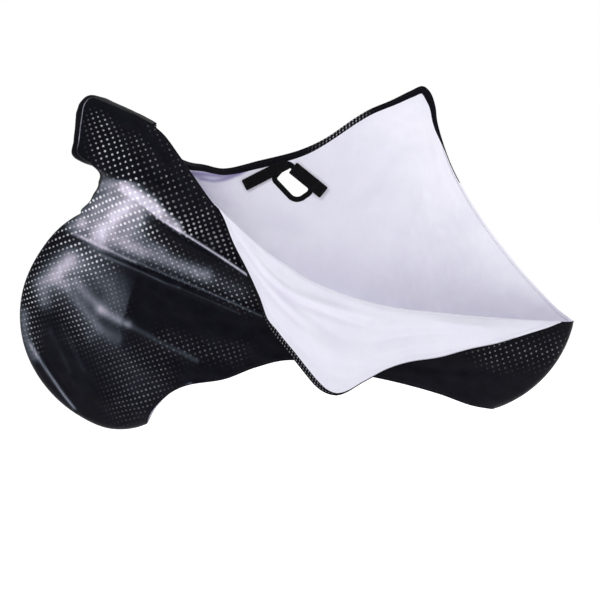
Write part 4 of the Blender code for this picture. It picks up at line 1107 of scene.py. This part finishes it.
def near_panel():
    grid, u, top_line = panel_grid("near")
    x, z, depth = grid[..., 0], grid[..., 1], grid[..., 2]
    body = placed(x, z, depth, "near")
    rows, columns = x.shape
    index = np.arange(rows * columns).reshape(rows, columns)
    faces = faces_of_grid(index, False)
    stand = BVHTree.FromPolygons(body.reshape(-1, 3).tolist(), faces)

    root = share_of(top_line, *NEAR_FREE[-1][:2])
    end = share_of(top_line, *NEAR_FOLD[-1][:2])
    first = int(np.argmin(np.abs(u - root)))
    last = int(np.argmin(np.abs(u - end)))
    top = grid[-1]
    hem = smooth_run([(*top[first][:2], 0.0)] + FLAP_HEM + [(*top[last][:2], 0.0)])
    span = (u[first:last + 1] - u[first]) / (u[last] - u[first])
    tip = share_of(hem, *FLAP_TIP)
    middle = span[int(np.argmin(np.abs(span - tip)))]
    hem_share = np.where(span <= middle, span * tip / middle, 1 - (1 - span) * (1 - tip) / (1 - middle))
    hem_at = resample(hem, at=hem_share)

    turn = np.radians(np.linspace(18, 185, 11))
    down = np.concatenate([[0.012, 0.030], np.linspace(0.055, 1.0, 46)])
    size = np.minimum(1.0, 0.25 + 4 * np.minimum(span, 1 - span))
    radius = FOLD_RADIUS * size
    swell = np.minimum(1.0, (top[first:last + 1, 1] - hem_at[:, 1]) / 0.08) * np.sin(np.pi * np.minimum(1, span * 1.3))
    fx, fz, fd = [], [], []
    for a in turn:
        fx.append(top[first:last + 1, 0])
        fz.append(top[first:last + 1, 1] + radius * math.sin(a) * 0.9)
        fd.append(top[first:last + 1, 2] + radius * (1 - math.cos(a)))
    for w in down:
        fx.append(top[first:last + 1, 0] + (hem_at[:, 0] - top[first:last + 1, 0]) * w)
        fz.append(top[first:last + 1, 1] + (hem_at[:, 1] - top[first:last + 1, 1]) * w)
        hang = top[first:last + 1, 2] + 2 * radius + w * hem_at[:, 2]
        for place, half_width, height in FLAP_FANS:
            hang = hang + height * math.exp(-((w - place) / half_width) ** 2) * swell
        fd.append(hang)
    fx, fz, fd = np.array(fx), np.array(fz), np.array(fd)
    loose = soft_step(np.concatenate([np.zeros(len(turn)), down])[:, None] / 0.15) * np.minimum(1, swell)[None, :]
    fd += (ripple(fx, fz, 31, 7, 0.080, 0.200, 0.0007) + ripple(fx, fz, 32, 6, 0.030, 0.060, 0.0002)) * loose
    for half_width, height, line in FLAP_FOLDS:
        away, along = distance_to(smooth_run(line, 40), fx, fz)
        fd += height * np.sin(np.pi * np.clip(along, 0.03, 0.97)) ** 0.6 * np.exp(-(away / half_width) ** 2) * loose
    # the flap keeps clear of the cloth behind it: what that asks for is spread softly
    short = np.zeros_like(fd)
    for r in range(len(turn), len(fd)):
        w = down[r - len(turn)]
        for c in range(1, fx.shape[1] - 1):
            hit = stand.ray_cast(Vector((fx[r, c] - ORIGIN[0], -1.0, fz[r, c] - ORIGIN[2])), Vector((0, 1, 0)))[0]
            if hit is not None:
                behind = -(hit.y + ORIGIN[1])
                need = behind + 2 * radius[c] * (1 - w) + FLAP_CLEAR * w + 0.0020 * size[c]
                short[r, c] = max(0.0, need - fd[r, c])
    grown = short.copy()
    for _ in range(40):
        soft = grown.copy()
        soft[len(turn) + 1:-1, 1:-1] = (grown[len(turn):-2, 1:-1] + grown[len(turn) + 2:, 1:-1] + grown[len(turn) + 1:-1, :-2] + grown[len(turn) + 1:-1, 2:]) / 4
        soft[-1, 1:-1] = (grown[-2, 1:-1] + grown[-1, :-2] + grown[-1, 2:]) / 3
        grown = np.maximum(short, soft)
    grown[:len(turn)] = 0
    fd += grown
    count = fx.shape[0]
    flap = np.empty((count + 1, last - first + 1), int)
    flap[0] = index[-1, first:last + 1]
    flap[1:, 0] = flap[0, 0]
    flap[1:, -1] = flap[0, -1]
    inner = np.arange(count * (last - first - 1)).reshape(count, -1) + rows * columns
    flap[1:, 1:-1] = inner
    flap_points = placed(fx, fz, fd, "near")
    points = np.vstack([body.reshape(-1, 3), flap_points[:, 1:-1].reshape(-1, 3)])
    faces += faces_of_grid(flap, False)

    # where each point lies on the flat cloth, and its distance from the hems
    whole_flap = np.concatenate([body[-1:, first:last + 1], flap_points])
    fall = from_edge(whole_flap)
    flat_x = np.concatenate([x.ravel(), fx[:, 1:-1].ravel()])
    flat_z = np.concatenate([z.ravel(), (top[first:last + 1, 1][None, :] + fall[1:])[:, 1:-1].ravel()])
    fields = print_fields("near", flat_x, flat_z)
    fields.update(flat_x=flat_x, flat_z=flat_z)
    count_body = rows * columns

    # black facing on the inner side
    top_share = edge_run(body[-1])
    from_top = from_edge(body, from_end=True)
    width_top = np.interp(top_share, *np.array(NEAR_FACING).T)
    facing_body = np.where(width_top[None, :] > 0, width_top[None, :] - from_top, -1.0)
    hem_run = edge_run(whole_flap[-1])
    hem_line = np.stack([whole_flap[-1][:, 0] + ORIGIN[0], whole_flap[-1][:, 2] + ORIGIN[2]], axis=1)
    gap, along = distance_to(hem_line, fx[:, 1:-1], fz[:, 1:-1])
    share = np.interp(along, np.linspace(0, 1, len(hem_run)), hem_run)
    facing_flap = np.interp(share, *np.array(FLAP_FACING).T) - gap
    facing_flap[:len(turn)] = np.minimum(facing_flap[:len(turn)], -0.002)
    fields["facing"] = np.concatenate([facing_body.ravel(), facing_flap.ravel()])
    # painted shade on the inner side: along the flap's folds, an even painted shade over the rest of the flap, and
    # another over the body
    shade = np.maximum(strokes(FLAP_SHADE, fx[:, 1:-1], fz[:, 1:-1]), PLAIN_SHADE)
    fields["shade"] = np.concatenate([np.full(count_body, 0.20), shade.ravel()])

    # the print stops short of the hems, and starts again on the facing
    from_bottom = from_edge(body)
    plain_edge = np.minimum(np.where(u[None, :] < root, from_top, 1.0), from_bottom)
    clear = soft_step((plain_edge - 0.009) / 0.006)
    fields["ink"][:count_body] *= clear.ravel()
    fields["tone"][:count_body] *= clear.ravel()
    flap_ink = np.interp(share, [0.0, 0.24, 0.30, 0.44, 0.49, 1.0], [0.0, 0.0, 0.52, 0.52, 0.0, 0.0])
    fields["ink"][count_body:] = np.where(facing_flap.ravel() > -0.004, flap_ink.ravel(), fields["ink"][count_body:])
    fields["dot"][count_body:] = 0.0017
    fields["size_a"][count_body:] = 0.0105
    fields["size_b"][count_body:] = 0.0072
    fields["cell_a"][count_body:] = (share * hem_run_length(whole_flap[-1]) / 0.0105 + gap * 60).ravel()
    fields["cell_b"][count_body:] = ((gap - 0.0010) / 0.0072).ravel()

    hem_near = np.concatenate([
        np.maximum((from_bottom < HEM_WIDTH), (from_top < HEM_WIDTH) & (u[None, :] <= u[first])).astype(float).ravel(),
        (gap < HEM_WIDTH).astype(float).ravel(),
    ])
    area = sheet_area(points, faces)
    obj = make_mesh("near_cloth", points, faces, [PRINT, INSIDE, PLAIN], fields)
    thicken(obj, hem_near)
    settle(obj)

    # stitching: bottom hem and free edge on the outer side, flap hem on its inner side
    normals = grid_normals(body)
    outward = -np.sign((normals[rows // 2, columns // 2] * np.array([0, 1, 0])).sum())
    normals = normals * outward
    runs = []
    for distance in (0.0085, 0.0110):
        path = inset(np.transpose(body, (1, 0, 2)), distance)[4:-4]
        runs.append((path, normals[2, 4:-4], 0.0002))
        free = inset(np.transpose(body[::-1], (1, 0, 2)), distance)[2:first]
        runs.append((free, normals[-3, 2:first], 0.0002))
    flap_normals = grid_normals(whole_flap)
    toward = flap_normals * -np.sign(flap_normals[-6, flap_normals.shape[1] // 2, 1])
    for distance in (0.0032, 0.0056):
        path = inset(np.transpose(whole_flap[::-1], (1, 0, 2)), distance)[12:-12]
        runs.append((path, toward[-3, 12:-12], HEM + 0.0002))
    return obj, runs, area, body, u


def hem_run_length(line):
    return float(np.linalg.norm(np.diff(line, axis=0), axis=1).sum())


# ---- far panel --------------------------------------------------------------------------------------
def far_panel():
    grid, u, top_line = panel_grid("far")
    x, z, depth = grid[..., 0], grid[..., 1], grid[..., 2]
    body = placed(x, z, depth, "far")
    rows, columns = x.shape
    index = np.arange(rows * columns).reshape(rows, columns)
    faces = faces_of_grid(index, True)
    fields = print_fields("far", x.ravel(), z.ravel())
    fields.update(flat_x=x.ravel(), flat_z=z.ravel())
    top_share = edge_run(body[-1])
    from_top = from_edge(body, from_end=True)
    gap, along = distance_to(grid[-1, :, :2], x, z)
    share = np.interp(along, np.linspace(0, 1, len(top_share)), top_share)
    fields["facing"] = (np.interp(share, *np.array(FAR_FACING).T) - np.where(gap < 0.05, gap, 1.0)).ravel()
    # an edge without facing has none at all
    fields["facing"] = np.where(np.interp(share, *np.array(FAR_FACING).T).ravel() <= 0.0002, -1.0, fields["facing"])
    # painted shade on the inner side: strokes at the creases, and an even painted shade that is lighter towards the
    # rims
    fields["shade"] = np.maximum(strokes(FAR_SHADE, x, z), PLAIN_SHADE * (1 - strokes(FAR_BRIGHT, x, z))).ravel()
    from_bottom = from_edge(body)
    clear = soft_step((np.minimum(from_bottom, from_top) - 0.009) / 0.006).ravel()
    on_band = (gap < 0.030).ravel()
    fields["ink"] *= clear
    fields["tone"] *= clear
    band_ink = np.interp(share, [0.0, 0.30, 0.35, 0.40, 0.43, 1.0], [0.0, 0.0, 0.62, 0.62, 0.0, 0.0]).ravel()
    fields["ink"] = np.where(on_band, band_ink, fields["ink"])
    fields["cell_a"] = np.where(on_band, (share * hem_run_length(body[-1]) / 0.0120 + gap * 45).ravel(), fields["cell_a"])
    fields["cell_b"] = np.where(on_band, ((gap + 0.0016) / 0.0072).ravel(), fields["cell_b"])
    fields["size_a"] = np.where(on_band, 0.0120, fields["size_a"])
    fields["size_b"] = np.where(on_band, 0.0072, fields["size_b"])
    fields["dot"] = np.where(on_band, 0.0022, fields["dot"])
    hem_near = ((gap < HEM_WIDTH) | (from_bottom < HEM_WIDTH)).astype(float)
    points = body.reshape(-1, 3)
    area = sheet_area(points, faces)
    obj = make_mesh("far_cloth", points, faces, [PRINT, INSIDE, PLAIN], fields)
    thicken(obj, hem_near.ravel())
    cutter = opening_cutter()
    cut = obj.modifiers.new("opening", "BOOLEAN")
    cut.operation = "DIFFERENCE"
    cut.solver = "FAST"
    cut.object = cutter
    settle(obj)
    bpy.data.objects.remove(cutter, do_unlink=True)
    normals = grid_normals(body)
    inward = normals * -np.sign(normals[rows // 2, columns // 2, 1])
    runs = []
    for distance in (0.0085, 0.0110):
        runs.append((inset(np.transpose(body, (1, 0, 2)), distance)[4:-4], -inward[2, 4:-4], 0.0002))
        runs.append((inset(np.transpose(body[::-1], (1, 0, 2)), distance)[4:-6], inward[-3, 4:-6], HEM + 0.0002))
    return obj, runs, area, body, u


# ---- head gusset ------------------------------------------------------------------------------------
def head_gusset():
    rows = np.arange((len(NECK)) * ROW_STEPS + 1) / ROW_STEPS + 1     # row 1 of the table is the wheel's last row
    table = spline_rows(neck_table("near"), rows)
    x, z, half, bulge, out = table.T
    across = graded([(0.0, 0.0035), (0.03, 0.010), (0.10, 0.0200), (0.90, 0.0200), (0.97, 0.010), (1.0, 0.0035)])
    swell = 1 - np.abs(2 * across - 1) ** 24
    out_x, out_z = np.cos(np.radians(out)), np.sin(np.radians(out))
    neck_row = rows - 2
    far = across[None, :] * corner_shift(neck_row)[:, None]
    X = x[:, None] + FAR_CORNER["dx"] * far
    Z = z[:, None] + FAR_CORNER["dz"] * far
    lift = SEAM_LIFT * np.minimum(1, half / 0.01)[:, None] + bulge[:, None] * swell[None, :] + 0.004 * np.sin(np.pi * across)[None, :] * np.minimum(1, half / 0.15)[:, None]
    Y = (2 * across[None, :] - 1) * half[:, None]
    inside = soft_step(np.minimum(across, 1 - across) / 0.08)[None, :] * np.minimum(1, half / 0.08)[:, None]
    lift = lift + (ripple(Y, Z + X, 41, 7, 0.040, 0.130, 0.0010) + ripple(Y, Z + X, 42, 6, 0.020, 0.040, 0.0003)) * inside
    points = np.stack([X + out_x[:, None] * lift - ORIGIN[0], Y - ORIGIN[1], Z + out_z[:, None] * lift - ORIGIN[2]], axis=-1)
    count = points.shape[:2]
    index = np.arange(count[0] * count[1]).reshape(count)
    faces = faces_of_grid(index, True)
    run = from_edge(points)
    fields = dict(flat_x=(Y + 0.3).ravel(), flat_z=run.ravel())
    size = count[0] * count[1]
    # the gusset's inner side gets an even painted shade
    fields.update(shade=np.full(size, 0.10), facing=(0.022 - (run[-1:] - run)).ravel(), ink=np.zeros(size), tone=np.zeros(size), dot=np.full(size, 0.002),
                  size_a=np.full(size, 0.012), size_b=np.full(size, 0.012), cell_a=(Y / 0.012).ravel(), cell_b=(run / 0.012).ravel())
    area = sheet_area(points.reshape(-1, 3), faces)
    obj = make_mesh("gusset_cloth", points.reshape(-1, 3), faces, [PLAIN, INSIDE, PLAIN], fields)
    thicken(obj, outwards=True)
    settle(obj)
    return obj, area, points


# ---- opening, binding and tabs ----------------------------------------------------------------------
def rounded(corners, steps=14):
    ring = []
    for i, (x, z, radius) in enumerate(corners):
        here = np.array([x, z])
        before = np.array(corners[i - 1][:2]) - here
        after = np.array(corners[(i + 1) % len(corners)][:2]) - here
        before /= np.linalg.norm(before)
        after /= np.linalg.norm(after)
        half = math.acos(np.clip(before @ after, -1, 1)) / 2
        start = here + before * radius / math.tan(half)
        stop = here + after * radius / math.tan(half)
        middle = here + (before + after) / np.linalg.norm(before + after) * radius / math.sin(half)
        a, b = start - middle, stop - middle
        turn = math.atan2(a[0] * b[1] - a[1] * b[0], a @ b)
        for t in np.linspace(0, turn, steps):
            ring.append(middle + np.array([a[0] * math.cos(t) - a[1] * math.sin(t), a[0] * math.sin(t) + a[1] * math.cos(t)]))
    return np.array(ring)


def evened(ring, count):
    closed = np.vstack([ring, ring[:1]])
    run = np.concatenate([[0.0], np.cumsum(np.linalg.norm(np.diff(closed, axis=0), axis=1))])
    at = np.linspace(0, run[-1], count, endpoint=False)
    return np.stack([np.interp(at, run, closed[:, k]) for k in range(2)], axis=1)


def ring_normals(ring):
    ahead = np.roll(ring, -1, axis=0) - np.roll(ring, 1, axis=0)
    normal = np.stack([-ahead[:, 1], ahead[:, 0]], axis=1)
    normal /= np.linalg.norm(normal, axis=1)[:, None]
    return normal * np.sign(((ring - ring.mean(axis=0)) * normal).sum())


def opening_cutter():
    ring = rounded(OPENING, 8)
    bm = bmesh.new()
    for depth in (0.03, 0.20):
        for x, z in ring:
            bm.verts.new(placed(np.float64(x), np.float64(z), np.float64(depth), "far"))
    bm.verts.ensure_lookup_table()
    n = len(ring)
    bm.faces.new([bm.verts[i] for i in range(n)])
    bm.faces.new([bm.verts[n + i] for i in range(n)][::-1])
    for i in range(n):
        j = (i + 1) % n
        bm.faces.new([bm.verts[j], bm.verts[i], bm.verts[n + i], bm.verts[n + j]])
    bmesh.ops.recalc_face_normals(bm, faces=bm.faces[:])
    mesh = bpy.data.meshes.new("cutter")
    bm.to_mesh(mesh)
    bm.free()
    mesh.materials.append(PLAIN)
    obj = bpy.data.objects.new("cutter", mesh)
    bpy.context.scene.collection.objects.link(obj)
    return obj


def opening_binding():
    """Tape folded over the edge of the opening: a U of 15 mm on the inner side and 11 mm on the outer one."""
    ring = evened(rounded(OPENING), 132)
    normal = ring_normals(ring)
    # profile: distance out from the opening's edge, and level above the cloth's outer face (towards the inside +)
    inside_top = CLOTH + 0.0013
    profile = [(BINDING_WIDTH, CLOTH + 0.0002), (BINDING_WIDTH, CLOTH + 0.0007), (BINDING_WIDTH - 0.0006, inside_top - 0.0002)]
    profile += [(BINDING_WIDTH - 0.0006 - k * 0.0020, inside_top + 0.0002 * math.sin(k * 1.3)) for k in range(1, 7)]
    profile += [(0.0006, inside_top), (-0.0006, inside_top - 0.0005), (-0.0011, CLOTH * 0.5), (-0.0006, -0.0009), (0.0008, -0.0013)]
    profile += [(0.0030, -0.0014), (0.0060, -0.0013), (0.0095, -0.0013), (0.0110, -0.0010), (0.0112, -0.0003)]
    points, flat = [], []
    run = np.linspace(0, 1, len(ring), endpoint=False)
    length = np.linalg.norm(np.roll(ring, -1, axis=0) - ring, axis=1).sum()
    for k, (out, level) in enumerate(profile):
        wave = 0.00025 * np.sin(2 * math.pi * run * 17 + k) + 0.0002 * np.sin(2 * math.pi * run * 41)
        at = ring + normal * (out + wave * (1 if out > 0.01 else 0.2))[:, None]
        depth = flat_depth(at[:, 0], at[:, 1]) - level - (0.00015 * np.sin(2 * math.pi * run * 29 + out * 900) if level > CLOTH else 0)
        points.append(placed(at[:, 0], at[:, 1], depth, "far"))
        flat.append(np.stack([run * length, np.full(len(ring), out + (0.03 if level < 0 else 0))], axis=1))
    points = np.array(points)
    flat = np.array(flat)
    index = np.arange(points.shape[0] * points.shape[1]).reshape(points.shape[:2])
    index = np.hstack([index, index[:, :1]])
    index = np.vstack([index, index[:1]])
    obj = make_mesh("binding_tape", points.reshape(-1, 3), faces_of_grid(index, False), [TRIM],
                    dict(flat_x=flat[..., 0].ravel(), flat_z=flat[..., 1].ravel()))
    outwards(obj)
    stitch = ring + normal * (BINDING_WIDTH - 0.0024)
    stitch = np.vstack([stitch, stitch[:1]])
    path = placed(stitch[:, 0], stitch[:, 1], flat_depth(stitch[:, 0], stitch[:, 1]) - inside_top, "far")
    up = np.tile(patch_normal(), (len(path), 1))
    return obj, [(path, up, 0.0002)]


def patch_normal():
    """Towards the near side, square to the flat patch."""
    normal = np.array([FLAT_DX, -1.0, FLAT_DZ])
    return normal / np.linalg.norm(normal)


def outwards(obj):
    bm = bmesh.new()
    bm.from_mesh(obj.data)
    bmesh.ops.recalc_face_normals(bm, faces=bm.faces[:])
    bm.to_mesh(obj.data)
    bm.free()
    obj.data.set_sharp_from_angle(angle=math.radians(45))


def tab(name, x0, z0, x1, z1, width, level):
    """A flat webbing tab, a little bowed, with soft corners and a stitched box at its root and its end."""
    lift = 0.0020 * 1.004 + SEAM_GAP + BINDING_THICK + SEAM_GAP + level * (TAB_THICK + SEAM_GAP)
    start, end = np.array([x0, z0]), np.array([x1, z1])
    along = end - start
    length = np.linalg.norm(along)
    along /= length
    side = np.array([-along[1], along[0]])
    s = graded([(0.0, 0.004), (0.06, 0.022), (0.5, 0.026), (0.94, 0.022), (1.0, 0.004)])
    w = np.sin(np.linspace(-math.pi / 2, math.pi / 2, 15))
    S, W = np.meshgrid(s, w, indexing="ij")
    # rounded corners: the half width draws in over the last 4 mm
    reach = 0.004
    gap = np.minimum(S, 1 - S) * length
    half = width / 2 - (reach - np.sqrt(np.maximum(0, reach ** 2 - np.maximum(0, reach - gap) ** 2)))
    X = start[0] + along[0] * S * length + side[0] * W * half
    Z = start[1] + along[1] * S * length + side[1] * W * half
    bow = 0.0022 * soft_step((S - 0.35) / 0.65) + 0.0006 * np.sin(S * 9.0) * (1 - W ** 2)
    edge = 0.00025 * np.exp(-((1 - np.abs(W)) / 0.10) ** 2)
    top = flat_depth(X, Z) - lift - TAB_THICK - bow - edge
    round_off = 0.0007 * (np.exp(-(gap / 0.0008) ** 2) + np.exp(-(((1 - np.abs(W)) * width / 2) / 0.0006) ** 2))
    top = top + round_off
    bottom = flat_depth(X, Z) - lift - bow - round_off * 0.6
    points = np.concatenate([placed(X, Z, top, "far").reshape(-1, 3), placed(X, Z, bottom, "far").reshape(-1, 3)])
    count = S.size
    index = np.arange(count).reshape(S.shape)
    faces = faces_of_grid(index, False) + faces_of_grid(index + count, True)
    rim = list(index[:, 0]) + list(index[-1, 1:]) + list(index[-2::-1, -1]) + list(index[0, -2:0:-1])
    for k in range(len(rim)):
        a, b = int(rim[k]), int(rim[(k + 1) % len(rim)])
        faces.append([a, b, b + count, a + count])
    flat_x = np.concatenate([(S * length).ravel()] * 2)
    flat_z = np.concatenate([(W * half).ravel(), (W * half + 0.1).ravel()])
    obj = make_mesh(name + "_web", points, faces, [TRIM], dict(flat_x=flat_x, flat_z=flat_z))
    outwards(obj)
    runs = []
    up = patch_normal()
    boxes = [(0.05, 0.24), (0.72, 0.95)]
    for s0, s1 in boxes:
        corners = [(s0, -0.78), (s1, -0.78), (s1, 0.78), (s0, 0.78), (s0, -0.78)]
        path = []
        for (sa, wa), (sb, wb) in zip(corners, corners[1:]):
            for t in np.linspace(0, 1, 20, endpoint=False):
                ss, ww = sa + (sb - sa) * t, wa + (wb - wa) * t
                at = start + along * ss * length + side * ww * width / 2
                b = 0.0022 * float(soft_step((ss - 0.35) / 0.65)) + 0.0006 * math.sin(ss * 9.0) * (1 - ww ** 2)
                path.append(placed(at[0], at[1], flat_depth(at[0], at[1]) - lift - TAB_THICK - b, "far"))
        path = np.array(path)
        runs.append((path, np.tile(up, (len(path), 1)), 0.0002))
    return obj, runs


# ---- build ------------------------------------------------------------------------------------------
near, near_runs, near_area, near_body, near_u = near_panel()
far, far_runs, far_area, far_body, far_u = far_panel()
gusset, gusset_area, gusset_points = head_gusset()
binding, binding_runs = opening_binding()
tabs = [tab(*row) for row in TABS]

# beads where the gusset is sewn to the side panels, and the ridge of the seam round each wheel pocket
seam_from = (WHEEL_ROWS - 1) * ROW_STEPS
bead_near = tube("seam_bead_near", ((near_body[seam_from:, 0] + gusset_points[:, 0]) / 2)[:-6], 0.00130, [PIPING])
bead_far = tube("seam_bead_far", ((far_body[seam_from:, 0] + gusset_points[:, -1]) / 2)[:-6], 0.00130, [PLAIN])
mid_front = near_body[:seam_from + 1, 0].copy()
mid_front[:, 1] = -ORIGIN[1]
ridge_front = tube("seam_ridge_front", mid_front, 0.0010, [PLAIN])
mid_rear = near_body[:, -1].copy()
mid_rear[:, 1] = -ORIGIN[1]
ridge_rear = tube("seam_ridge_rear", mid_rear, 0.0010, [PLAIN])

near_stitches = stitched("near_stitches", near_runs, [THREAD])
far_stitches = stitched("far_stitches", far_runs, [THREAD])
trim_runs = list(binding_runs)
for _, runs in tabs:
    trim_runs += runs
trim_stitches = stitched("trim_stitches", trim_runs, [LOCKED])

# ---- pieces hung from the root, and the parts of the solids they stand in for hidden ----------------
for piece, node, slot in (
    (near, "near_panel", "stretch_cloth"),
    (far, "far_panel", "stretch_cloth"),
    (gusset, "head_gusset", "plain_stretch_cloth"),
    (binding, "opening_binding", "black_trim"),
    (tabs[0][0], "tab_front", "black_trim"),
    (tabs[1][0], "tab_rear", "black_trim"),
):
    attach(piece, "root")
    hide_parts(node)
for piece, slot in (
    (bead_near, "plain_stretch_cloth"),
    (bead_far, "plain_stretch_cloth"),
    (ridge_front, "plain_stretch_cloth"),
    (ridge_rear, "plain_stretch_cloth"),
    (near_stitches, "plain_stretch_cloth"),
    (far_stitches, "plain_stretch_cloth"),
    (trim_stitches, "black_trim"),
):
    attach(piece, "root")

print("AREAS", round(near_area, 4), round(far_area, 4), round(gusset_area, 4))

# ---- stage ------------------------------------------------------------------------------------------
FLOOR_Z = -0.360 - ORIGIN[2]


def floor():
    mesh = bpy.data.meshes.new("floor")
    size = 40.0
    mesh.from_pydata([(-size, -size, FLOOR_Z), (size, -size, FLOOR_Z), (size, size, FLOOR_Z), (-size, size, FLOOR_Z)], [], [[0, 1, 2, 3]])
    obj = bpy.data.objects.new("floor", mesh)
    bpy.context.scene.collection.objects.link(obj)
    n = Nodes("floor_white", roughness=0.9, specular=0.1, sheen=0.0, colour=(0.86, 0.86, 0.87))
    n.shader.inputs["Emission Color"].default_value = (1.0, 1.0, 1.0, 1.0)
    n.shader.inputs["Emission Strength"].default_value = 0.66
    mesh.materials.append(n.material)
    return obj


floor()

world = bpy.data.worlds.new("studio")
bpy.context.scene.world = world
world.use_nodes = True
tree = world.node_tree
tree.nodes.clear()
out = tree.nodes.new("ShaderNodeOutputWorld")
seen = tree.nodes.new("ShaderNodeBackground")
seen.inputs["Color"].default_value = (1.0, 1.0, 1.0, 1.0)
seen.inputs["Strength"].default_value = 1.0
lit = tree.nodes.new("ShaderNodeBackground")
lit.inputs["Color"].default_value = (0.97, 0.98, 1.0, 1.0)
lit.inputs["Strength"].default_value = 0.42
rays = tree.nodes.new("ShaderNodeLightPath")
blend = tree.nodes.new("ShaderNodeMixShader")
tree.links.new(rays.outputs["Is Camera Ray"], blend.inputs[0])
tree.links.new(lit.outputs[0], blend.inputs[1])
tree.links.new(seen.outputs[0], blend.inputs[2])
tree.links.new(blend.outputs[0], out.inputs[0])


def area_light(name, place, aim, size, power):
    """A soft light at a place in the working frame, aimed at another."""
    data = bpy.data.lights.new(name, "AREA")
    data.shape = "DISK"
    data.size = size
    data.energy = power
    obj = bpy.data.objects.new(name, data)
    obj.location = Vector(place) - Vector(ORIGIN)
    obj.rotation_euler = (Vector(aim) - Vector(place)).to_track_quat("-Z", "Y").to_euler()
    bpy.context.scene.collection.objects.link(obj)
    return obj


area_light("key", (-2.0, -2.2, 3.0), (-0.2, 0.0, 0.5), 1.0, 46)
area_light("fill", (2.4, -2.8, 1.4), (0.1, 0.0, 0.5), 2.0, 12)
area_light("top", (0.2, 0.6, 3.2), (0.0, 0.0, 0.5), 1.8, 22)
area_light("behind", (1.0, 3.2, 2.0), (0.0, 0.0, 0.5), 2.0, 20)

bpy.context.scene.view_settings.view_transform = "Standard"
bpy.context.scene.view_settings.look = "None"

# ---- camera -----------------------------------------------------------------------------------------
camera_data = bpy.data.cameras.new("camera")
camera_data.sensor_width = 36.0
camera_data.lens = 61.2
camera = bpy.data.objects.new("camera", camera_data)
camera.location = Vector((0.0, -3.0, 0.70651)) - Vector(ORIGIN)
camera.rotation_euler = (math.radians(90 - 6.044), 0.0, 0.0)
bpy.context.scene.collection.objects.link(camera)
bpy.context.scene.camera = camera
